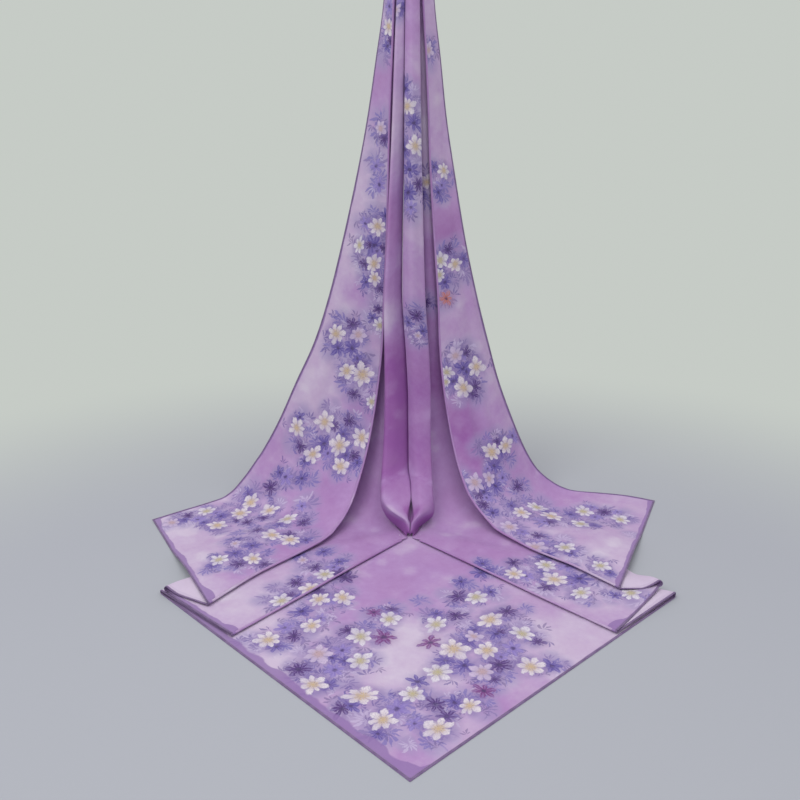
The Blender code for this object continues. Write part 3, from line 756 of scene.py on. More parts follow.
# kinds: b periwinkle, d dark purple, m magenta, l light lilac, o peach
starBlooms = {
    "front_panel": {"plan": (
        (-11.2, 36.8, 4.6, "d"), (-17.5, 47.2, 3.7, "b"), (-17.8, 54.0, 3.6, "d"),
        (-19.4, 51.8, 3.2, "l"), (-16.0, 62.0, 3.9, "d"), (-10.0, 57.8, 3.3, "l"),
        (-4.1, 54.6, 3.9, "m"), (-5.7, 47.6, 2.8, "m"), (2.9, 55.7, 3.8, "m"),
        (7.8, 42.8, 4.1, "d"), (8.5, 38.4, 3.6, "b"), (7.2, 48.4, 3.6, "d"),
        (15.7, 47.3, 3.2, "d"), (13.3, 53.5, 4.0, "b"), (13.1, 61.0, 4.2, "d"),
        (7.9, 61.6, 3.7, "b"), (10.4, 67.0, 3.4, "m"), (-9.1, 70.8, 3.9, "d"),
        (3.6, 69.8, 3.5, "d"), (-1.6, 70.8, 3.6, "l"), (12.1, 35.6, 3.4, "b"),
        (0.6, 74.0, 3.0, "l"), (-10.6, 62.4, 3.2, "l"), (15.6, 57.2, 3.4, "l"),
    )},
    "left_middle_layer": {"plan": (
        (-15.6, 29.6, 3.5, "b"), (-12.4, 32.6, 3.3, "b"), (-11.3, 37.2, 4.3, "d"),
        (-19.2, 40.2, 3.0, "d"), (-18.6, 45.8, 3.7, "b"), (-13.4, 34.6, 2.8, "l"),
    )},
    "right_middle_layer": {"plan": (
        (18.0, 33.6, 3.3, "d"), (12.6, 33.4, 3.2, "b"), (11.8, 36.8, 3.3, "b"),
        (28.6, 38.2, 4.4, "b"), (27.4, 34.3, 3.4, "l"), (22.6, 41.2, 3.2, "d"),
        (24.0, 30.8, 3.4, "b"),
    ), "hung": ((92.6, 1.4, 2.2, "d"), (112.6, 1.2, 2.2, "b"))},
    "left_wing": {"plan": (
        (-43.5, 14.0, 3.0, "d"), (-36.9, 14.2, 3.0, "b"), (-28.0, 8.4, 3.6, "d"),
        (-25.2, 6.8, 3.1, "b"), (-21.2, 10.0, 3.6, "b"), (-20.4, 19.4, 3.4, "d"),
        (-31.4, 17.0, 3.0, "d"), (-28.2, 22.2, 2.8, "d"), (-28.0, 28.4, 3.6, "b"),
        (-30.9, 31.2, 3.4, "b"), (-29.6, 35.2, 3.2, "d"), (-21.0, 14.4, 3.0, "l"),
        (-24.6, 8.6, 3.4, "l"), (-41.0, 15.8, 2.8, "l"),
    ), "hung": (
        (87.0, 2.2, 4.2, "b"), (84.0, 3.9, 2.4, "d"), (86.2, 0.3, 3.0, "d"),
        (79.0, 0.6, 2.6, "d"), (75.0, 0.8, 2.4, "d"), (72.0, 5.8, 3.2, "d"),
        (67.4, 5.6, 4.2, "b"), (65.6, 4.4, 3.0, "b"), (58.8, 4.0, 2.8, "d"),
        (53.0, 4.3, 3.0, "d"), (48.4, 8.8, 4.2, "b"), (46.6, 13.6, 3.2, "d"),
        (46.2, 7.6, 3.2, "l"), (46.0, 2.0, 3.2, "d"), (45.0, 1.0, 2.6, "b"),
        (127.6, 0.8, 2.8, "l"), (121.3, 0.9, 2.9, "b"), (121.8, 0.2, 2.4, "d"),
        (101.6, 2.2, 3.0, "l"), (98.0, 1.4, 3.0, "l"), (91.2, 4.0, 2.6, "l"),
    )},
    "right_wing": {"plan": (
        (21.2, 9.0, 3.3, "d"), (16.6, 11.6, 3.7, "b"), (15.6, 17.8, 3.6, "b"),
        (26.6, 18.2, 3.1, "d"), (31.4, 14.0, 3.0, "b"), (38.0, 12.6, 3.3, "d"),
        (23.6, 23.8, 3.1, "d"), (24.2, 31.0, 3.4, "b"), (14.8, 14.6, 2.8, "l"),
        (36.0, 14.6, 2.8, "l"), (29.0, 30.6, 2.8, "l"),
    ), "hung": (
        (83.6, 2.3, 2.8, "d"), (78.0, 1.3, 3.1, "b"), (74.5, 1.4, 3.1, "o"),
        (61.0, 4.0, 3.7, "b"), (57.4, 6.2, 3.4, "d"), (58.6, 1.8, 3.0, "b"),
        (63.6, 4.6, 2.8, "l"), (45.6, 9.5, 2.8, "d"), (40.7, 7.6, 4.2, "b"),
        (35.4, 3.3, 3.7, "b"), (37.2, 8.8, 3.0, "l"), (93.8, 1.2, 3.1, "b"),
        (95.6, 2.0, 2.4, "l"), (33.0, 1.4, 3.0, "d"),
    )},
    "left_centre_pleat": {"hung": ((100.6, 4.4, 2.0, "l"),)},
    "right_centre_pleat": {"hung": (
        (80.3, 5.4, 3.7, "b"), (86.2, 7.0, 2.4, "b"), (72.6, 6.5, 4.4, "b"),
        (68.5, 7.0, 3.7, "b"), (70.2, 4.7, 3.0, "d"), (46.2, 6.3, 3.2, "d"),
        (66.4, 6.4, 2.8, "l"), (45.2, 7.6, 2.2, "b"),
    )},
}

# pale and deep washes of the ground, partly the print's own tones and partly painted shade and painted
# light: (x, front or up, radius, tone), tone 0 deep to 1 pale
washesAndPaintedShade = {
    "front_panel": {"base": 0.68, "plan": (
        (1.5, 26.0, 4.5, 0.78), (0.0, 35.0, 9.0, 0.40), (-4.0, 42.0, 7.0, 0.40),
        (9.0, 33.0, 5.0, 0.45), (0.0, 54.5, 6.0, 1.0), (0.5, 62.0, 5.5, 0.95),
        (-11.0, 49.0, 5.0, 0.50), (-20.0, 59.5, 4.5, 0.95), (12.5, 71.0, 4.0, 0.32),
        (17.5, 66.5, 4.5, 0.62), (24.0, 55.5, 7.0, 0.90), (32.0, 50.0, 7.0, 0.92),
        (-26.0, 50.0, 6.0, 0.98), (-34.0, 44.0, 6.0, 0.90), (0.0, 79.5, 5.0, 0.50),
        (-16.0, 68.0, 3.5, 0.60), (-9.0, 75.5, 3.5, 0.62), (7.0, 77.0, 3.5, 0.70),
        (3.0, 46.0, 3.5, 0.50),
    )},
    "left_middle_layer": {"base": 0.40, "plan": (
        (-8.0, 27.0, 8.0, 0.38), (-16.0, 32.0, 5.0, 0.55), (-22.0, 38.0, 7.0, 0.75),
        (-28.0, 47.0, 9.0, 0.92), (-36.0, 42.0, 8.0, 0.92),
    ), "hung": ((60.0, 3.0, 9.0, 0.40), (75.0, 3.0, 9.0, 0.40), (95.0, 2.0, 9.0, 0.40),)},
    "right_middle_layer": {"base": 0.40, "plan": (
        (8.0, 27.0, 8.0, 0.36), (13.0, 29.0, 6.0, 0.36), (24.0, 38.0, 7.0, 0.70),
        (32.0, 45.0, 8.0, 0.82), (38.0, 44.0, 7.0, 0.80),
    # the hung rows are painted light and painted shade where the middle layer hangs in shade between pleat
    # and wing
    ), "hung": (
        (48.0, 3.0, 7.0, 0.50), (60.0, 3.0, 6.0, 0.44), (68.0, 3.0, 4.5, 0.36),
        (78.0, 3.0, 7.0, 0.08), (90.0, 2.0, 5.0, 0.35), (100.0, 2.0, 6.0, 0.30),
        (113.0, 2.0, 6.0, 0.95), (124.0, 2.0, 7.0, 0.90), (135.0, 1.0, 8.0, 0.80),
    )},
    "left_wing": {"base": 0.68, "plan": (
        (-47.0, 17.0, 8.0, 1.2), (-40.0, 28.0, 8.0, 0.86), (-34.0, 41.0, 7.0, 0.90),
        (-28.0, 38.0, 4.5, 0.50), (-20.0, 28.5, 6.0, 0.36), (-16.5, 20.0, 6.5, 0.34),
        (-24.0, 16.0, 5.0, 0.60), (-33.0, 20.0, 6.0, 0.72),
    ), "hung": (
        (37.0, 3.0, 7.0, 0.38), (41.0, 10.0, 7.0, 0.48), (43.0, 18.0, 6.0, 0.48),
        (50.0, 11.0, 6.0, 0.62), (58.0, 12.0, 7.0, 0.88), (60.0, 5.0, 5.0, 0.66),
        (55.0, 1.5, 4.0, 0.40), (66.0, 9.0, 5.0, 0.80), (75.0, 7.0, 7.0, 0.88),
        (78.0, 1.5, 3.5, 0.50), (80.0, 4.0, 4.0, 0.45), (86.0, 6.0, 5.0, 0.84),
        (95.0, 4.0, 6.0, 0.86), (105.0, 3.0, 6.0, 0.78), (115.0, 2.0, 6.0, 0.45),
    )},
    "right_wing": {"base": 0.66, "plan": (
        (30.0, 6.0, 7.0, 0.42), (41.0, 10.0, 6.0, 0.62), (46.0, 10.0, 5.0, 0.70),
        (38.0, 23.0, 7.0, 0.76), (34.0, 33.0, 7.0, 0.90), (24.0, 22.0, 5.0, 0.66),
        (20.0, 5.0, 6.0, 0.40),
    ), "hung": (
        (49.5, 3.0, 6.0, -0.10), (44.0, 4.0, 5.0, 0.12), (52.0, 9.0, 4.5, 0.40),
        (40.0, 12.0, 5.0, 0.45), (47.0, 13.5, 4.0, 0.62), (58.0, 10.0, 5.0, 0.70),
        (66.0, 7.0, 6.0, 0.70), (75.0, 6.0, 6.0, 0.62), (80.0, 4.0, 4.0, 0.62),
        (88.0, 3.0, 6.0, 0.18), (96.0, 2.0, 5.0, 0.55), (106.0, 2.0, 7.0, 0.62),
        (116.0, 2.0, 6.0, 0.62),
    )},
    # left pleat: painted shade low on its inner side, painted highlights on its nose, and in plan painted
    # shadow at the hole by the join
    "left_centre_pleat": {"base": 0.30, "hung": (
        (8.0, 5.0, 7.0, 0.24), (22.0, 6.0, 9.0, -0.05), (34.0, 6.0, 7.0, -0.05),
        (46.0, 5.0, 4.0, 0.80), (56.0, 5.0, 4.0, 0.50), (66.0, 5.0, 6.0, 0.25),
        (80.0, 5.0, 8.0, 0.80), (94.0, 5.0, 7.0, 0.58), (104.0, 4.0, 8.0, 0.70),
        (20.0, 8.6, 4.0, -0.1), (28.0, 8.4, 4.0, -0.1), (36.0, 8.2, 4.0, 0.0),
        (4.6, 7.4, 1.6, 0.75), (7.0, 6.6, 1.4, 0.55),
    ), "plan": (
        (-4.0, 18.6, 1.7, -0.9), (-3.2, 19.8, 1.5, -0.9), (-2.0, 20.9, 1.2, -0.9),
        (0.2, 20.2, 1.0, -0.9),
    )},
    # right pleat: in plan, painted shadow at the hole by the join
    "right_centre_pleat": {"base": 0.35, "hung": (
        (8.0, 6.0, 6.0, 0.34), (20.0, 6.0, 8.0, 0.18), (34.0, 6.0, 7.0, 0.20),
        (45.0, 6.0, 4.0, 0.62), (54.0, 7.0, 4.6, 0.55), (62.0, 6.0, 4.4, 0.76),
        (70.0, 6.0, 5.0, 0.84), (82.0, 6.0, 6.0, 0.80), (92.0, 6.0, 7.0, 0.56),
        (105.0, 5.0, 6.0, 0.5),
    ), "plan": (
        (3.7, 18.9, 1.5, -0.9), (2.7, 19.9, 1.3, -0.9), (1.5, 20.8, 1.0, -0.9), (0.1, 20.2, 1.0, -0.9),
    )},
    "left_wing_return": {"base": 0.42, "plan": ((-33.0, 44.0, 10.0, 0.95), (-25.0, 36.0, 6.0, 0.60))},
    "right_wing_return": {"base": 0.40, "plan": ((34.0, 40.0, 9.0, 0.95), (27.0, 32.0, 6.0, 0.70))},
    "left_turn_under": {"base": 0.36, "plan": ((-34.0, 46.0, 12.0, 0.95), (-20.0, 36.0, 7.0, 0.66))},
    "right_turn_under": {"base": 0.36, "plan": ((36.0, 47.0, 12.0, 0.95), (22.0, 37.0, 7.0, 0.66))},
}

# the border band swells at corners and fold ends: (x, front, radius, how far it moves in)
bandBlobs = {
    "front_panel": {"plan": ((0.0, 83.4, 2.6, 1.1), (-5.0, 79.0, 2.4, 0.5), (-21.0, 65.5, 2.4, 0.3))},
    "left_middle_layer": {"plan": ((-28.0, 53.4, 1.6, 1.4),)},
    "left_wing": {"plan": ((-33.0, 44.8, 2.2, 1.2), (-41.0, 31.5, 2.6, 0.4), (-49.0, 16.6, 1.6, 0.5))},
    "right_middle_layer": {"plan": ((32.0, 52.4, 2.4, 4.6),)},
    "right_wing": {"plan": ((35.6, 40.4, 1.8, 0.6), (49.0, 8.6, 1.6, 0.4))},
}
# how narrow the band is on the middle layer's and the wing's front hem
bandScale = {"left": (0.95, 0.98), "right": (3.0, 1.06)}

# places without leaves: (x, front, radius)
quiet = {
    "front_panel": {"plan": ((0.4, 54.5, 3.4), (0.2, 59.5, 3.4), (0.4, 64.0, 2.6), (0.0, 34.0, 7.0))},
}

kindNumbers = {"w": 1, "c": 2, "p": 3, "b": 1, "d": 2, "m": 3, "l": 4, "o": 5}


def flatSpot(stretch, row, plan):
    # the flat place of a table row, whose first two sizes are centimetres
    if plan:
        return stretch.above(row[0] / 100, cloth["holdFront"] * mm - row[1] / 100)
    return stretch.at(row[0] / 100, row[1] / 100)


def spotsOf(table, node, stretch):
    found = []
    for kind in ("plan", "hung"):
        for row in table.get(node, {}).get(kind, ()):
            found.append((*flatSpot(stretch, row, kind == "plan"), *row[2:]))
    return found


def leavesAround(spots, count, seed, away, radius, still):
    # leafy tufts beside the flowers, at uneven turns; away is a share of the flower's size
    chance = random.Random(seed)
    found = []
    for x, y, size, kind in spots:
        for _ in range(count):
            turn = chance.uniform(0.0, math.tau)
            way = size / 100 * chance.uniform(*away)
            length = 2 * chance.uniform(*radius)
            kindOfLeaf = chance.choice((1, 2, 1, 2, 3))
            spot = (x + math.cos(turn) * way, y + math.sin(turn) * way)
            if all(math.dist(spot, (a, b)) > (r + length * 0.3) / 100 for a, b, r in still):
                found.append((*spot, length, kindOfLeaf))
    return found


def starsBeside(spots, seed):
    # a small star flower tucked beside most of the pale ones
    chance = random.Random(seed)
    found = []
    for x, y, size, kind in spots:
        turn = chance.uniform(0.0, math.tau)
        way = size / 100 * chance.uniform(0.50, 0.72)
        small = chance.uniform(2.2, 3.4)
        spot = (x + math.cos(turn) * way, y + math.sin(turn) * way)
        found.append((*spot, small, chance.choice("bbdbdl")))
    return found


# in the shader a flower is a circle of 1, and nothing is drawn this far out
bloomReach = 4.6


def bloomCoordinates(mesh, flat, spots, seed, spread):
    # each face takes the frame of its nearest flower: turned, scaled, with its kind
    chance = random.Random(seed)
    loops = len(mesh.loops)
    values = np.full((loops, 2), bloomReach)
    if spots:
        centres = np.array([(x, y) for x, y, size, kind in spots])
        radii = np.array([size / 200 for x, y, size, kind in spots])
        turns = np.array([chance.uniform(0.0, math.tau) for spot in spots])
        kinds = np.array([kindNumbers.get(kind, kind) for x, y, size, kind in spots])
        seeds = np.array([chance.randint(1, 9) for spot in spots])
        corners = flat.reshape(-1, 4, 2)
        middles = corners.mean(axis=1)
        away = middles[:, None, :] - centres[None, :, :]
        reach = np.hypot(away[:, :, 0], away[:, :, 1]) / radii[None, :]
        nearest = reach.argmin(axis=1)
        close = reach[np.arange(len(nearest)), nearest] < spread
        offset = (corners - centres[nearest][:, None, :]) / radii[nearest][:, None, None]
        cosine = np.cos(turns[nearest])[:, None]
        sine = np.sin(turns[nearest])[:, None]
        lean = np.array([chance.uniform(1.0, 1.3) for spot in spots])[nearest][:, None]
        x = np.clip(offset[:, :, 0] * cosine + offset[:, :, 1] * sine, -bloomReach, bloomReach)
        y = (offset[:, :, 1] * cosine - offset[:, :, 0] * sine) * lean
        y = np.clip(y, -bloomReach, bloomReach)
        framed = np.stack((x + 10 * kinds[nearest][:, None], y + 10 * seeds[nearest][:, None]), axis=2)
        values = values.reshape(-1, 4, 2)
        values[close] = framed[close]
        values = values.reshape(-1, 2)
    return values


# petals are uneven, so a flower is drawn larger than its table size, and its frame reaches further
bloomGrowth = {"white": 1.24, "star": 1.32}
bloomSpread = {"white": 1.35, "star": 1.35, "sprig": 1.3, "leaf": 1.4}


def addPrint(mesh, node, stretch):
    loops = len(mesh.loops)
    flat = np.empty(loops * 2)
    mesh.uv_layers["print"].data.foreach_get("uv", flat)
    flat = flat.reshape(-1, 2)
    white = spotsOf(whiteBlooms, node, stretch)
    stars = spotsOf(starBlooms, node, stretch)
    seed = sum(ord(letter) for letter in node)
    stars = stars + starsBeside(white, seed + 3)
    still = spotsOf(quiet, node, stretch)
    sprigs = leavesAround(white, 5, seed, (0.36, 0.86), (1.3, 2.3), still)
    sprigs += leavesAround(stars, 3, seed + 1, (0.1, 0.8), (1.3, 2.3), still)
    leaves = leavesAround(white, 3, seed + 2, (0.2, 0.8), (2.0, 3.4), still)
    leaves += leavesAround(stars, 2, seed + 5, (0.1, 0.6), (2.2, 3.6), still)
    # fainter tufts further out, on the cloth that lies on the floor
    laid = white[:len(whiteBlooms.get(node, {}).get("plan", ()))]
    leaves += leavesAround(laid, 1, seed + 6, (0.9, 1.6), (2.1, 2.8), still)
    white = [(x, y, size * bloomGrowth["white"], kind) for x, y, size, kind in white]
    stars = [(x, y, size * bloomGrowth["star"], kind) for x, y, size, kind in stars]
    sets = {"white": white, "star": stars, "sprig": sprigs, "leaf": leaves}
    for number, (name, spots) in enumerate(sets.items()):
        spread = bloomSpread[name]
        layer = mesh.uv_layers.new(name=name)
        values = bloomCoordinates(mesh, flat, spots, seed + number * 7, spread)
        layer.data.foreach_set("uv", values.ravel())
    wash = washesAndPaintedShade[node]
    tone = np.full(loops, wash["base"])
    for x, y, radius, value in spotsOf(washesAndPaintedShade, node, stretch):
        away = np.hypot(flat[:, 0] - x, flat[:, 1] - y) / (radius / 100)
        share = np.exp(-away ** 2)
        tone = tone + (value - tone) * share
    edge = np.empty(loops * 2)
    mesh.uv_layers["edge"].data.foreach_get("uv", edge)
    edge = edge.reshape(-1, 2)
    edge[:, 1] = tone
    for x, y, radius, inward in spotsOf(bandBlobs, node, stretch):
        away = np.hypot(flat[:, 0] - x, flat[:, 1] - y) / (radius / 100)
        edge[:, 0] -= inward / 100 * np.exp(-away ** 4)
    mesh.uv_layers["edge"].data.foreach_set("uv", edge.ravel())


class Graph:
    def __init__(self, name):
        self.material = bpy.data.materials.new(name)
        self.material.use_nodes = True
        self.tree = self.material.node_tree
        self.shader = self.tree.nodes["Principled BSDF"]

    def node(self, kind, **settings):
        made = self.tree.nodes.new(kind)
        for name, value in settings.items():
            setattr(made, name, value)
        return made

    def put(self, socket, value):
        if isinstance(value, bpy.types.NodeSocket):
            self.tree.links.new(value, socket)
        else:
            socket.default_value = value

    def math(self, operation, first, second=None, third=None, clamp=False):
        made = self.node("ShaderNodeMath", operation=operation, use_clamp=clamp)
        for socket, value in zip(made.inputs, (first, second, third)):
            if value is not None:
                self.put(socket, value)
        return made.outputs[0]

    def add(self, *values):
        total = values[0]
        for value in values[1:]:
            total = self.math("ADD", total, value)
        return total

    def times(self, *values):
        total = values[0]
        for value in values[1:]:
            total = self.math("MULTIPLY", total, value)
        return total

    def less(self, first, second, soft=30.0):
        # 1 where first is below second, with a soft edge
        return self.math("MULTIPLY", self.math("SUBTRACT", second, first), soft, clamp=True)

    def ramp(self, value, low, high, smooth=True):
        made = self.node("ShaderNodeMapRange")
        made.interpolation_type = "SMOOTHSTEP" if smooth else "LINEAR"
        self.put(made.inputs["Value"], value)
        self.put(made.inputs["From Min"], low)
        self.put(made.inputs["From Max"], high)
        return made.outputs["Result"]

    def mix(self, share, first, second):
        made = self.node("ShaderNodeMix", data_type="RGBA")
        self.put(made.inputs[0], share)
        for socket, colour in ((made.inputs[6], first), (made.inputs[7], second)):
            self.put(socket, (*colour, 1.0) if isinstance(colour, tuple) else colour)
        return made.outputs[2]

    def uv(self, name):
        made = self.node("ShaderNodeUVMap", uv_map=name)
        split = self.node("ShaderNodeSeparateXYZ")
        self.tree.links.new(made.outputs[0], split.inputs[0])
        return made.outputs[0], split.outputs[0], split.outputs[1]

    def point(self, x, y=0.0, z=0.0):
        made = self.node("ShaderNodeCombineXYZ")
        for socket, value in zip(made.inputs, (x, y, z)):
            self.put(socket, value)
        return made.outputs[0]

    def noise(self, where, scale, detail=2.0, rough=0.5):
        made = self.node("ShaderNodeTexNoise")
        self.put(made.inputs["Vector"], where)
        self.put(made.inputs["Scale"], scale)
        self.put(made.inputs["Detail"], detail)
        self.put(made.inputs["Roughness"], rough)
        return made.outputs["Fac"]

    def bump(self, height, strength, depth):
        made = self.node("ShaderNodeBump")
        made.inputs["Strength"].default_value = strength
        made.inputs["Distance"].default_value = depth
        self.put(made.inputs["Height"], height)
        self.put(self.shader.inputs["Normal"], made.outputs[0])

    def pick(self, kind, colours):
        # the colour of a kind number, the first by default
        found = colours[0]
        for number, colour in enumerate(colours[1:], start=2):
            same = self.math("COMPARE", kind, float(number), 0.3)
            found = self.mix(same, found, colour)
        return found

    def bloomSpace(self, name, wobble, wave):
        # the place in a flower's own circle, its kind and its seed
        _, x, y = self.uv(name)
        kind = self.math("ROUND", self.times(x, 0.1))
        seed = self.math("ROUND", self.times(y, 0.1))
        x = self.math("MULTIPLY_ADD", kind, -10.0, x)
        y = self.math("MULTIPLY_ADD", seed, -10.0, y)
        x = self.add(x, self.times(self.math("SUBTRACT", wave[0], 0.5), wobble))
        y = self.add(y, self.times(self.math("SUBTRACT", wave[1], 0.5), wobble))
        away = self.math("SQRT", self.add(self.times(x, x), self.times(y, y)))
        turn = self.math("ARCTAN2", y, x)
        return x, y, away, turn, kind, seed


palette = {
    "pale": (0.65, 0.58, 0.695),
    "mid": (0.462, 0.298, 0.55),
    "deep": (0.315, 0.120, 0.375),
    # painted shade for gaps, pleat undersides and the hole by the join, reached by tones below 0
    "paintedShade": (0.15, 0.045, 0.19),
    "blush": (0.48, 0.29, 0.50),
    "band": (0.29, 0.185, 0.41),
    "cluster": (0.36, 0.305, 0.51),
    "petal": ((0.80, 0.78, 0.81), (0.82, 0.78, 0.78), (0.64, 0.54, 0.70)),
    "heart": ((0.50, 0.46, 0.20), (0.60, 0.46, 0.22), (0.54, 0.38, 0.36)),
    "pollen": (0.26, 0.17, 0.08),
    "shadow": (0.22, 0.16, 0.38),
    "star": (
        (0.12, 0.09, 0.34), (0.085, 0.035, 0.18), (0.20, 0.052, 0.215),
        (0.27, 0.21, 0.52), (0.55, 0.19, 0.13),
    ),
    "starRidge": (0.42, 0.36, 0.64),
    "starHeart": (0.05, 0.03, 0.11),
    "rim": (0.40, 0.345, 0.52),
    "leaf": ((0.185, 0.14, 0.31), (0.13, 0.10, 0.32), (0.60, 0.54, 0.70)),
    "farLeaf": ((0.25, 0.19, 0.41), (0.20, 0.17, 0.45), (0.58, 0.50, 0.68)),
    "reverse": (0.67, 0.59, 0.71),
    "hem": ((0.15, 0.095, 0.21), (0.22, 0.15, 0.29)),
    "thread": (0.30, 0.21, 0.39, 1.0),
    "sheen": (0.74, 0.58, 0.82, 1.0),
}

# soft clouds of the ground: scale, detail, roughness, and how far they move its tone
clouds = {
    "broad": (11.0, 3.0, 0.55, 0.45),
    "cloud": (38.0, 3.0, 0.6, 0.30),
    "fine": (120.0, 2.0, 0.6, 0.16),
}
groundLook = {"spotScale": 21.0, "spotReach": (0.10, 0.36), "spotGlow": 0.16, "blush": 0.18}


def rays(graph, away, turn, count, seed, uneven):
    # the place across one petal, 0 on its middle, and the way along it, each petal's length its own
    petal = graph.math("DIVIDE", graph.times(turn, count), math.tau)
    across = graph.math("ABSOLUTE", graph.math("SUBTRACT", graph.math("FRACT", petal), 0.5))
    own = graph.node("ShaderNodeTexWhiteNoise", noise_dimensions="2D")
    graph.put(own.inputs["Vector"], graph.point(graph.math("FLOOR", petal), seed))
    length = graph.math("MULTIPLY_ADD", own.outputs["Value"], -uneven, 1.0)
    return graph.times(across, 2.0), graph.math("DIVIDE", away, length)


def groundWithPaintedShade(graph, where, tone):
    # deep, middle and pale violet by the tone of the washes, which hold painted shade and painted light as
    # well as the print's tones, with soft clouds
    noises = {}
    for name, (scale, detail, rough, strength) in clouds.items():
        noises[name] = graph.noise(where, scale, detail, rough)
        tone = graph.add(tone, graph.times(graph.math("SUBTRACT", noises[name], 0.5), strength))
    spots = graph.node("ShaderNodeTexVoronoi", feature="SMOOTH_F1")
    graph.put(spots.inputs["Vector"], where)
    spots.inputs["Scale"].default_value = groundLook["spotScale"]
    spot = graph.ramp(spots.outputs["Distance"], *groundLook["spotReach"])
    glow = graph.math("SUBTRACT", 1.0, spot)
    tone = graph.add(tone, graph.times(glow, groundLook["spotGlow"]))
    ground = graph.mix(graph.ramp(tone, 0.0, 0.5, False), palette["deep"], palette["mid"])
    ground = graph.mix(graph.ramp(tone, 0.5, 1.0, False), ground, palette["pale"])
    # tones below 0 turn to the painted shade colour
    ground = graph.mix(graph.ramp(tone, -0.1, -0.8, False), ground, palette["paintedShade"])
    hue = graph.ramp(graph.noise(where, 16.0, 2.0), 0.35, 0.7)
    ground = graph.mix(graph.times(hue, groundLook["blush"]), ground, palette["blush"])
    return ground, noises


# tufts of thin swirled leaves: rays in a full turn, how slim, how strong, half of the fan's angle
tufts = {
    "leaf": {"rays": 11.0, "slim": 0.80, "strength": 0.70, "opened": 2.6, "colours": "farLeaf"},
    "sprig": {"rays": 8.0, "slim": 0.68, "strength": 0.62, "opened": 1.8, "colours": "leaf"},
}
tuftShape = {"wobble": 0.30, "swirl": 0.55, "uneven": 0.50, "belly": 0.7}


def leafFan(graph, ground, name, waves):
    tuft = tufts[name]
    x, y, away, turn, kind, seed = graph.bloomSpace(name, tuftShape["wobble"], waves)
    near = graph.math("GREATER_THAN", kind, 0.5)
    turn = graph.add(turn, graph.times(away, tuftShape["swirl"]))
    across, along = rays(graph, away, turn, tuft["rays"], seed, tuftShape["uneven"])
    belly = graph.math("POWER", along, tuftShape["belly"])
    wide = graph.math("SINE", graph.math("MULTIPLY", belly, math.pi))
    wide = graph.times(graph.math("MAXIMUM", wide, 0.0), tuft["slim"])
    side = graph.less(graph.math("ABSOLUTE", turn), tuft["opened"], 6.0)
    shape = graph.times(graph.less(across, wide, 7.0), graph.less(along, 1.0, 14.0), near, side)
    colour = graph.pick(kind, palette[tuft["colours"]])
    return graph.mix(graph.times(shape, tuft["strength"]), ground, colour)


def leafHalo(graph, ground, waves, cloud):
    # a soft blue-grey cloud behind each tuft
    _, _, far, _, kind, _ = graph.bloomSpace("leaf", tuftShape["wobble"], waves)
    near = graph.math("GREATER_THAN", kind, 0.5)
    around = graph.times(graph.math("SUBTRACT", 1.0, graph.ramp(far, 0.40, 1.25)), near)
    around = graph.times(around, graph.ramp(cloud, 0.18, 0.56), 0.74)
    return graph.mix(around, ground, palette["cluster"])


# petals: count, uneven length, width at the base, how much and how late they narrow
star = {
    "wobble": 0.34, "petals": 6.0, "uneven": 0.34, "wide": 1.14, "narrowing": 0.98, "point": 1.8,
    "ridge": 0.40, "heart": 0.8, "mottle": 0.35, "halo": 0.34, "strength": 0.88,
}


def starFlowers(graph, ground, waves, fine):
    x, y, away, turn, kind, seed = graph.bloomSpace("star", star["wobble"], waves)
    near = graph.math("GREATER_THAN", kind, 0.5)
    turn = graph.add(turn, seed)
    across, along = rays(graph, away, turn, star["petals"], seed, star["uneven"])
    narrow = graph.times(star["narrowing"], graph.math("POWER", along, star["point"]))
    wide = graph.math("SUBTRACT", star["wide"], narrow)
    shape = graph.times(graph.less(across, wide, 5.0), graph.less(along, 1.0, 12.0), near)
    colour = graph.pick(kind, palette["star"])
    ridge = graph.times(graph.less(across, 0.34, 3.5), graph.ramp(along, 0.12, 0.6), star["ridge"])
    colour = graph.mix(ridge, colour, palette["starRidge"])
    heart = graph.times(graph.less(along, 0.28, 6.0), star["heart"])
    colour = graph.mix(heart, colour, palette["starHeart"])
    mottle = graph.times(graph.ramp(fine, 0.5, 0.75), star["mottle"])
    colour = graph.mix(mottle, colour, palette["cluster"])
    halo = graph.times(graph.less(away, 1.2, 1.5), near, star["halo"])
    ground = graph.mix(halo, ground, graph.mix(0.4, colour, palette["cluster"]))
    return graph.mix(graph.times(shape, star["strength"]), ground, colour)


# petals are counted by seed, turned a little out of their even places, broad and then pointed
whiteFlower = {
    "wobble": 0.26, "petals": 6.5, "more": 0.9, "jitter": 0.13, "uneven": 0.34,
    "tip": 2.3, "round": 0.86, "wide": 1.46, "button": 0.3, "strength": 0.93,
    "streak": 0.60, "shaded": 0.34, "crease": 0.95, "border": 0.30, "shadow": 0.55,
}
heartLook = {
    "cup": 0.62, "cupStrength": 0.50,
    "hairs": 15.0, "hairLength": 0.22, "hairUneven": 0.26, "hairStrength": 0.66,
    "core": 0.17, "coreUneven": 0.14, "coreStrength": 0.76,
    "dots": 11.0, "dotRing": 0.19, "dotWidth": 0.05, "dotStrength": 0.5,
}


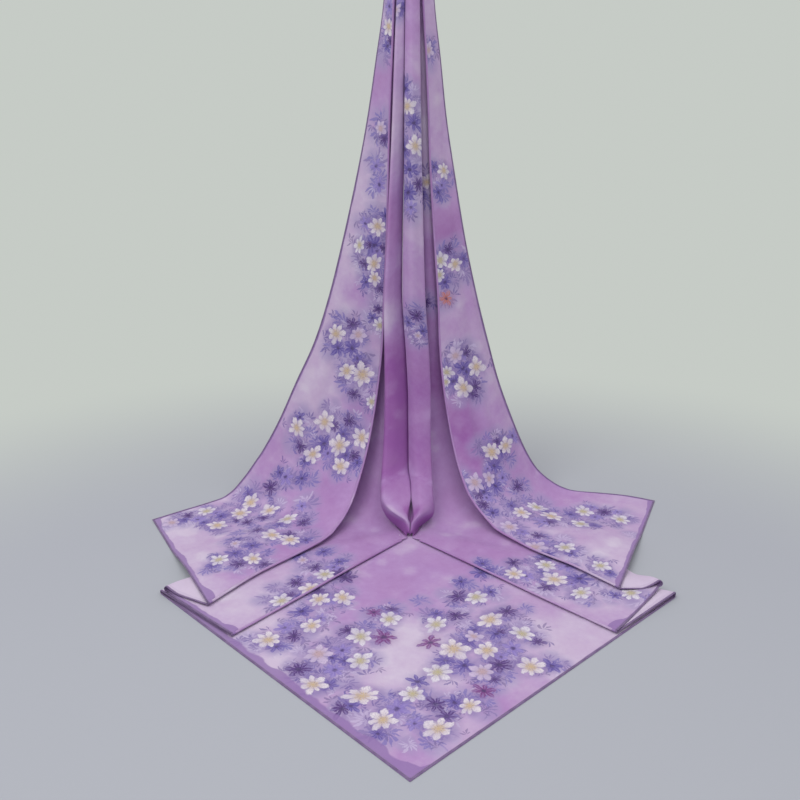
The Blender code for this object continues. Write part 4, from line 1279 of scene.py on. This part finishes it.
def flowerHeart(graph, white, kind, away, turn, streak):
    # a pale cup, a ring of fine hairs, the core and its pollen dots
    heart = graph.pick(kind, palette["heart"])
    cup = graph.times(graph.less(away, heartLook["cup"], 2.6), heartLook["cupStrength"])
    white = graph.mix(cup, white, graph.mix(0.5, heart, palette["rim"]))
    hairs = graph.math("SINE", graph.times(turn, heartLook["hairs"]))
    hairs = graph.math("GREATER_THAN", hairs, -0.1)
    hairEnd = graph.add(heartLook["hairLength"], graph.times(streak, heartLook["hairUneven"]))
    hairs = graph.times(hairs, graph.less(away, hairEnd, 14.0), heartLook["hairStrength"])
    white = graph.mix(hairs, white, heart)
    coreEnd = graph.add(heartLook["core"], graph.times(streak, heartLook["coreUneven"]))
    core = graph.times(graph.less(away, coreEnd, 5.0), heartLook["coreStrength"])
    white = graph.mix(core, white, heart)
    ring = graph.math("ABSOLUTE", graph.math("SUBTRACT", away, heartLook["dotRing"]))
    dots = graph.math("SINE", graph.times(turn, heartLook["dots"]))
    dots = graph.math("GREATER_THAN", dots, 0.2)
    dots = graph.times(graph.less(ring, heartLook["dotWidth"], 20.0), dots, heartLook["dotStrength"])
    return graph.mix(dots, white, palette["pollen"])


def whiteFlowers(graph, ground, waves, cloud):
    look = whiteFlower
    x, y, away, turn, kind, seed = graph.bloomSpace("white", look["wobble"], waves)
    near = graph.math("GREATER_THAN", kind, 0.5)
    turn = graph.add(turn, seed)
    more = graph.times(graph.math("SINE", graph.times(seed, 2.1)), look["more"])
    count = graph.math("ROUND", graph.add(look["petals"], more))
    sway = graph.math("SINE", graph.add(graph.times(turn, 2.0), seed))
    turn = graph.add(turn, graph.times(sway, look["jitter"]))
    across, along = rays(graph, away, turn, count, seed, look["uneven"])
    rest = graph.math("SUBTRACT", 1.0, graph.math("POWER", along, look["tip"]))
    wide = graph.math("POWER", graph.math("MAXIMUM", rest, 0.0), look["round"])
    inside = graph.math("SUBTRACT", graph.times(wide, look["wide"]), across)
    shape = graph.times(graph.less(0.0, inside, 6.0), graph.less(along, 1.0, 16.0), near)
    button = graph.times(graph.less(away, look["button"], 12.0), near)
    shape = graph.math("MAXIMUM", shape, button)
    white = graph.pick(kind, palette["petal"])
    streakPlace = graph.point(graph.times(turn, 2.6), graph.times(away, 1.3), seed)
    streak = graph.noise(streakPlace, 5.0, 3.0)
    streaks = graph.times(graph.ramp(streak, 0.42, 0.68), look["streak"])
    white = graph.mix(streaks, white, palette["rim"])
    white = graph.mix(graph.times(graph.ramp(x, -0.3, 0.9), look["shaded"]), white, palette["rim"])
    crease = graph.times(graph.ramp(across, 0.58, 1.0), graph.less(along, 1.0, 3.0), look["crease"])
    white = graph.mix(crease, white, palette["rim"])
    outside = graph.math("SUBTRACT", 1.0, graph.less(0.0, inside, 2.6))
    white = graph.mix(graph.times(outside, look["border"]), white, palette["rim"])
    white = flowerHeart(graph, white, kind, away, turn, streak)
    under = graph.times(graph.less(away, 1.25, 2.0), near, graph.ramp(cloud, 0.3, 0.66), look["shadow"])
    ground = graph.mix(under, ground, palette["shadow"])
    return graph.mix(graph.times(shape, look["strength"]), ground, white)


# the mauve band beside the hems, in metres
band = {"width": 0.0085, "wave": 0.010, "waveScale": 34.0, "sharp": 650.0, "strength": 0.84}


def borderBand(graph, ground, where, hemWay):
    wave = graph.math("SUBTRACT", graph.noise(where, band["waveScale"], 3.0), 0.5)
    width = graph.add(band["width"], graph.times(wave, band["wave"]))
    share = graph.math("MULTIPLY", graph.math("SUBTRACT", width, hemWay), band["sharp"], clamp=True)
    return graph.mix(graph.times(share, band["strength"]), ground, palette["band"])


# the threads of the cloth, their slubs, and the cotton's finish
weave = {
    "threads": 9400.0, "threadHeight": 0.25, "slubScale": 420.0, "grainScale": 1500.0, "grain": 0.10,
    "bump": 0.22, "depth": 0.0004, "roughness": 0.80, "specular": 0.14, "sheen": 0.10, "sheenRough": 0.45,
}


def cottonFinish(graph, ground, where):
    grain = graph.noise(where, weave["grainScale"], 2.0, 0.7)
    shade = graph.node("ShaderNodeHueSaturation")
    graph.put(shade.inputs["Color"], ground)
    value = graph.add(1.0 - weave["grain"] / 2, graph.times(grain, weave["grain"]))
    graph.put(shade.inputs["Value"], value)
    graph.put(graph.shader.inputs["Base Color"], shade.outputs[0])
    _, across, along = graph.uv("print")
    warp = graph.math("SINE", graph.times(across, weave["threads"]))
    weft = graph.math("SINE", graph.times(along, weave["threads"]))
    slub = graph.noise(where, weave["slubScale"], 3.0, 0.6)
    graph.bump(graph.add(graph.times(graph.add(warp, weft), weave["threadHeight"]), slub),
               weave["bump"], weave["depth"])
    graph.shader.inputs["Roughness"].default_value = weave["roughness"]
    graph.shader.inputs["Specular IOR Level"].default_value = weave["specular"]
    graph.shader.inputs["Sheen Weight"].default_value = weave["sheen"]
    graph.shader.inputs["Sheen Roughness"].default_value = weave["sheenRough"]
    graph.shader.inputs["Sheen Tint"].default_value = palette["sheen"]


def clothMaterial(name, reverse=False):
    graph = Graph(name)
    where, _, _ = graph.uv("print")
    _, hemWay, tone = graph.uv("edge")
    waves = (graph.noise(where, 240.0, 2.0), graph.noise(graph.point(0.37, where), 230.0, 2.0))
    ground, noises = groundWithPaintedShade(graph, where, tone)
    ground = leafHalo(graph, ground, waves, noises["cloud"])
    ground = leafFan(graph, ground, "leaf", waves)
    ground = leafFan(graph, ground, "sprig", waves)
    ground = starFlowers(graph, ground, waves, noises["fine"])
    ground = whiteFlowers(graph, ground, waves, noises["cloud"])
    ground = borderBand(graph, ground, where, hemWay)
    if reverse:
        ground = graph.mix(0.80, ground, palette["reverse"])   # the print barely shows through
    cottonFinish(graph, ground, where)
    return graph.material


def hemMaterial():
    graph = Graph("rolled_hem")
    where, way, turn = graph.uv("print")
    tint = graph.noise(where, 60.0, 3.0)
    colour = graph.mix(graph.ramp(tint, 0.3, 0.7), *palette["hem"])
    graph.put(graph.shader.inputs["Base Color"], colour)
    twist = graph.math("SINE", graph.add(graph.times(way, 2100.0), graph.times(turn, 900.0)))
    graph.bump(twist, 0.5, 0.0004)
    graph.shader.inputs["Roughness"].default_value = 0.78
    graph.shader.inputs["Sheen Weight"].default_value = 0.2
    return graph.material


printed = clothMaterial("printed_cotton_face")
printedBack = clothMaterial("printed_cotton_back", reverse=True)
hemFinish = hemMaterial()
threadGraph = Graph("hem_thread")
threadGraph.shader.inputs["Base Color"].default_value = palette["thread"]
threadGraph.shader.inputs["Roughness"].default_value = 0.6
thread = threadGraph.material
print("stage: shaders")


def sheetMesh(name, node, stretch, faceWay):
    # faceWay is (share along, share across, direction): the printed side looks that way there
    mesh = bpy.data.meshes.new(name)
    work = bmesh.new()
    rows = stretch.rows
    r = int(faceWay[0] * (len(rows) - 2))
    c = int(faceWay[1] * (len(rows[0]) - 2))
    normal = (rows[r][c + 1] - rows[r][c]).cross(rows[r + 1][c] - rows[r][c])
    turned = normal.dot(Vector(faceWay[2])) < 0.0
    grid = [[work.verts.new(point) for point in row] for row in rows]
    printMap = work.loops.layers.uv.new("print")
    edgeMap = work.loops.layers.uv.new("edge")
    for row in range(len(grid) - 1):
        for column in range(len(grid[0]) - 1):
            spots = ((row, column), (row, column + 1), (row + 1, column + 1), (row + 1, column))
            spots = spots[::-1] if turned else spots
            face = work.faces.new([grid[r][c] for r, c in spots])
            face.smooth = True
            for loop, (r, c) in zip(face.loops, spots):
                loop[printMap].uv = stretch.flat[r][c]
                loop[edgeMap].uv = (stretch.hemDistance(r, c), 0.0)
    work.to_mesh(mesh)
    work.free()
    addPrint(mesh, node, stretch)
    mesh.materials.append(printed)
    mesh.materials.append(printed if "pleat" in node else printedBack)
    piece = bpy.data.objects.new(name, mesh)
    bpy.context.scene.collection.objects.link(piece)
    wall = piece.modifiers.new("skin", "SOLIDIFY")
    wall.thickness = cloth["skin"] * mm
    wall.offset = 0.0
    wall.material_offset = 1
    return piece


def hemPath(rows, edge):
    # edge "start" follows the first row, "side" the last column
    if edge == "start":
        line = rows[0]
        inside = rows[1]
    else:
        line = [row[-1] for row in rows]
        inside = [row[-2] for row in rows]
    path = []
    for index, (point, inner) in enumerate(zip(line, inside)):
        inward = (inner - point).normalized()
        along = line[min(index + 1, len(line) - 1)] - line[max(index - 1, 0)]
        path.append((point.copy(), inward, inward.cross(along).normalized()))
    return path


stitch = {
    "first": 3.0, "every": 1.7, "uneven": 0.12, "length": 2.1, "thick": 0.42,
    "inset": 3.1, "height": 0.42, "taper": 0.6, "sides": 4,
}


def addStitches(work, path):
    # a running stitch: every other thread lies on the other face
    walked = 0.0
    due = stitch["first"]
    under = False
    floorLevel = (stitch["thick"] - cloth["hang"]) * mm
    for (start, startIn, startFace), (end, endIn, endFace) in zip(path, path[1:]):
        length = (end - start).length / mm
        while due <= walked + length and length > 0.01:
            share = (due - walked) / length
            inward = startIn.lerp(endIn, share).normalized()
            face = startFace.lerp(endFace, share).normalized()
            along = (end - start).normalized()
            height = cloth["hemThickness"] * stitch["height"] * (-1.0 if under else 1.0)
            centre = start.lerp(end, share) + (inward * stitch["inset"] + face * height) * mm
            centre.z = max(centre.z, floorLevel)
            addThread(work, centre, along, inward, face)
            under = not under
            due += stitch["every"] * (1.0 + stitch["uneven"] * math.sin(due * 2.7))
        walked += length


def addThread(work, centre, along, inward, face):
    half = stitch["length"] / 2 * mm
    ends = [work.verts.new(centre + along * way) for way in (-half, half)]
    rings = []
    for way in (-stitch["taper"], stitch["taper"]):
        ring = []
        for side in range(stitch["sides"]):
            angle = math.tau * side / stitch["sides"]
            offset = (inward * math.cos(angle) + face * math.sin(angle)) * (stitch["thick"] / 2 * mm)
            ring.append(work.verts.new(centre + along * (half * way) + offset))
        rings.append(ring)
    faces = []
    for side in range(stitch["sides"]):
        after = (side + 1) % stitch["sides"]
        faces.append(work.faces.new((ends[0], rings[0][after], rings[0][side])))
        faces.append(work.faces.new((rings[0][side], rings[0][after], rings[1][after], rings[1][side])))
        faces.append(work.faces.new((ends[1], rings[1][side], rings[1][after])))
    for made in faces:
        made.material_index = 1
        made.smooth = True


# a rolled hem: its roll swells and thins a little, and stops short of a corner, in millimetres
hemRoll = {"sides": 12, "swell": 0.05, "ripple": 0.04, "stop": 0.4, "panelStop": 3.2}


def hemMesh(name, path, stop=hemRoll["stop"]):
    half = cloth["hemWidth"] / 2
    thick = cloth["hemThickness"] / 2
    floorLevel = (cloth["hemThickness"] / 2 - cloth["hang"]) * mm
    sideCount = hemRoll["sides"]
    path = list(path)
    for end, neighbour in ((0, 1), (-1, -2)):
        edge, inward, face = path[end]
        back = (path[neighbour][0] - edge).normalized()
        path[end] = (edge + back * stop * mm, inward, face)
    mesh = bpy.data.meshes.new(name)
    work = bmesh.new()
    uv = work.loops.layers.uv.new("print")
    rings = []
    walked = 0.0
    last = path[0][0]
    for edge, inward, face in path:
        walked += (edge - last).length
        last = edge
        centre = edge + inward * (half * mm)
        centre.z = max(centre.z, floorLevel)
        ripple = hemRoll["ripple"] * math.sin(walked * 233.0 + 1.0)
        swell = 1.0 + hemRoll["swell"] * math.sin(walked * 610.0) + ripple
        ring = []
        for side in range(sideCount):
            angle = math.tau * side / sideCount
            offset = inward * (math.cos(angle) * half) + face * (math.sin(angle) * thick * swell)
            ring.append(work.verts.new(centre + offset * mm))
        rings.append((ring, walked))
    for (ring, start), (after, end) in zip(rings, rings[1:]):
        for side in range(sideCount):
            nextSide = (side + 1) % sideCount
            face = work.faces.new((ring[side], ring[nextSide], after[nextSide], after[side]))
            face.smooth = True
            ways = ((start, side), (start, side + 1), (end, side + 1), (end, side))
            for loop, (way, turn) in zip(face.loops, ways):
                loop[uv].uv = (way, turn * 0.0008)
    work.faces.new(rings[0][0])
    work.faces.new(rings[-1][0])
    bmesh.ops.recalc_face_normals(work, faces=work.faces)
    addStitches(work, path)
    work.to_mesh(mesh)
    work.free()
    mesh.materials.append(hemFinish)
    mesh.materials.append(thread)
    piece = bpy.data.objects.new(name, mesh)
    bpy.context.scene.collection.objects.link(piece)
    return piece


def keep(piece, node):
    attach(piece, "root")
    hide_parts(node)


spacing = 6.0       # between the rows of a stretch, in millimetres
trim = cloth["hemWidth"] / 2

# the flat front panel and its hem
front = {"name": "front_panel_cloth", "cells": 120, "flat": (0.60, 0.62)}
rows = panelRows(front["cells"])
up = Vector((0.0, 0.0, 1.0))
corner = rows[0][0].copy()
leftIn = up.cross(rows[-1][0] - corner).normalized() * -1.0
rightIn = up.cross(rows[0][-1] - corner).normalized()
leftPath = [(row[0].copy(), leftIn, up) for row in rows[1:]]
rightPath = [(point.copy(), rightIn, up) for point in rows[0][1:]]
frontPath = leftPath[::-1] + [(corner, leftIn + rightIn, up)] + rightPath
panelStretch = Stretch(front["name"], rows, {"left": 0.54, "right": 2.0}, plan=True)
panelFace = (0.3, 0.3, (0.0, 0.0, 1.0))
addCreases("front_panel", panelStretch, panelFace)
panelPiece = sheetMesh(front["name"], "front_panel", panelStretch, panelFace)
keep(panelPiece, "front_panel")
keep(hemMesh("front_hem_roll", frontPath, hemRoll["panelStop"]), "front_hem")
print("stage: front panel")

# the folded layers of both sides
stretches = {"front_panel": panelStretch}
for side in sides:
    layers = Side(side)
    middleStops = evenSections(layers.lines["inner"], 0.0, float(lastSection), spacing)
    wingStops = evenSections(layers.lines["fold"], 0.0, float(lastSection), spacing)
    pleatStops = evenSections(layers.lines["outerEdge"], pleatStart, float(lastSection), spacing)

    rows = [middleRow(layers, stop) for stop in middleStops]
    path = hemPath(rows, "start")
    trimStart(rows, trim)
    stretches[side + "_middle_layer"] = Stretch(side + "_middle", rows, {"start": bandScale[side][0]})
    keep(hemMesh(side + "_middle_hem_roll", path), side + "_middle_hem")

    rows = [returnRow(layers, stop) for stop in wingStops]
    path = hemPath(rows, "start")
    trimStart(rows, trim)
    stretches[side + "_wing_return"] = Stretch(side + "_return", rows, {"start": 1.0})
    keep(hemMesh(side + "_return_hem_roll", path), side + "_return_hem")

    rows = [wingRow(layers, stop) for stop in wingStops]
    first = hemPath(rows, "start")
    second = hemPath(rows, "side")
    turn = (first[-1][0], first[-1][1] + second[0][1], first[-1][2])
    path = first[:-1] + [turn] + second[1:]
    trimStart(rows, trim)
    trimEnd(rows, trim)
    stretches[side + "_wing"] = Stretch(side + "_wing", rows, {"start": bandScale[side][1], "side": 2.0})
    keep(hemMesh(side + "_wing_hem_roll", path), side + "_wing_hem")

    steps = turnUnder["rows"]
    rows = [underRow(layers, turnUnder["reach"] * step / steps) for step in range(steps + 1)]
    path = hemPath(rows, "start")
    trimStart(rows, trim)
    stretches[side + "_turn_under"] = Stretch(side + "_under", rows, {"start": 1.0})
    keep(hemMesh(side + "_turn_under_hem_roll", path), side + "_turn_under_hem")

    rows = [pleatRow(layers, stop) for stop in pleatStops]
    stretches[side + "_centre_pleat"] = Stretch(side + "_pleat", rows)
    print("stage:", side, "layers")

# width and length of each stretch, cut from the square, and its area
cuts = {
    "middle_layer": {
        "flat": (0.20, 1.70), "held": "hung", "area": (0.124, 0.135), "face": (0.05, 0.5, (0, 0, 1)),
    },
    "wing_return": {
        "flat": (0.12, 1.57), "held": "folded", "area": (0.084, 0.079), "face": (0.05, 0.5, (0, 0, -1)),
    },
    "wing": {
        "flat": (0.37, 1.54), "held": "hung", "area": (0.195, 0.171), "face": (0.05, 0.5, (0, 0, 1)),
    },
    "turn_under": {
        "flat": (0.20, 0.42), "held": "folded", "area": (0.048, 0.042), "face": (0.3, 0.5, (0, 0, -1)),
    },
    "centre_pleat": {
        "flat": (0.17, 1.27), "held": "gathered", "area": (0.137, 0.141), "face": (0.5, 0.5, (0, -1, 0)),
    },
}
for side in sides:
    for kind, cut in cuts.items():
        node = side + "_" + kind
        stretch = stretches[node]
        addCreases(node, stretch, cut["face"])
        piece = sheetMesh(stretch.name + "_cloth", node, stretch, cut["face"])
        keep(piece, node)

# the stage: a pale floor that fades into the backdrop
backdrop = {
    "half": 9.0,
    "level": -1.1802,
    "centre": (0.0, -0.8, -1.18),
    "fade": (0.8, 1.7),
    "floor": (0.44, 0.472, 0.495),
    "wall": (0.565, 0.60, 0.565, 1.0),
    "glow": (0.53, 0.495, 0.55, 1.0),
    "roughness": 0.75,
}
half = backdrop["half"]
floorMesh = bpy.data.meshes.new("floor")
floorCorners = [(-half, -half, 0), (half, -half, 0), (half, half, 0), (-half, half, 0)]
floorMesh.from_pydata(floorCorners, [], [(0, 1, 2, 3)])
floor = bpy.data.objects.new("floor", floorMesh)
floor.location.z = backdrop["level"]
bpy.context.scene.collection.objects.link(floor)
floorLook = Graph("pale_floor")
away = floorLook.node("ShaderNodeVectorMath", operation="DISTANCE")
floorLook.put(away.inputs[0], floorLook.node("ShaderNodeNewGeometry").outputs["Position"])
floorLook.put(away.inputs[1], backdrop["centre"])
far = floorLook.ramp(away.outputs["Value"], *backdrop["fade"])
floorColour = floorLook.mix(far, backdrop["floor"], (0.0, 0.0, 0.0))
floorLook.put(floorLook.shader.inputs["Base Color"], floorColour)
floorLook.put(floorLook.shader.inputs["Emission Color"], backdrop["wall"])
floorLook.put(floorLook.shader.inputs["Emission Strength"], far)
floorLook.shader.inputs["Roughness"].default_value = backdrop["roughness"]
floorLook.shader.inputs["Specular IOR Level"].default_value = 0.0
floorMesh.materials.append(floorLook.material)

view = {"place": (0.0, -1.6765, -0.366), "tilt": 70.0, "lens": 40.5, "sensor": 36.0, "shift": -0.0125}
camera = bpy.data.objects.new("camera", bpy.data.cameras.new("camera"))
camera.location = view["place"]
camera.rotation_euler = Euler((math.radians(view["tilt"]), 0.0, 0.0))
camera.data.lens = view["lens"]
camera.data.sensor_width = view["sensor"]
camera.data.shift_x = view["shift"]
bpy.context.scene.collection.objects.link(camera)
bpy.context.scene.camera = camera


def areaLight(name, where, target, size, energy, tint):
    lamp = bpy.data.objects.new(name, bpy.data.lights.new(name, "AREA"))
    lamp.data.energy = energy
    lamp.data.size = size
    lamp.data.color = tint
    lamp.location = where
    lamp.rotation_euler = (Vector(target) - Vector(where)).to_track_quat("-Z", "Y").to_euler()
    bpy.context.scene.collection.objects.link(lamp)


areaLight("key", (-1.7, -1.9, 1.9), (0.0, -0.2, -0.9), 1.9, 40.0, (1.0, 0.99, 0.98))
areaLight("fill", (2.2, -1.9, 0.9), (0.0, -0.2, -0.8), 2.6, 8.0, (0.97, 0.98, 1.0))
areaLight("top", (0.2, -0.7, 2.0), (0.0, -0.35, -1.2), 2.4, 29.0, (1.0, 1.0, 1.0))

world = bpy.data.worlds.new("room")
bpy.context.scene.world = world
world.use_nodes = True
background = world.node_tree.nodes["Background"]
seen = world.node_tree.nodes.new("ShaderNodeLightPath")
roomTint = world.node_tree.nodes.new("ShaderNodeMix")
roomTint.data_type = "RGBA"
roomTint.inputs[6].default_value = backdrop["glow"]
roomTint.inputs[7].default_value = backdrop["wall"]
world.node_tree.links.new(seen.outputs["Is Camera Ray"], roomTint.inputs[0])
world.node_tree.links.new(roomTint.outputs[2], background.inputs["Color"])
background.inputs["Strength"].default_value = 1.0
bpy.context.scene.view_settings.view_transform = "Standard"
print("stage: floor, camera and lights")
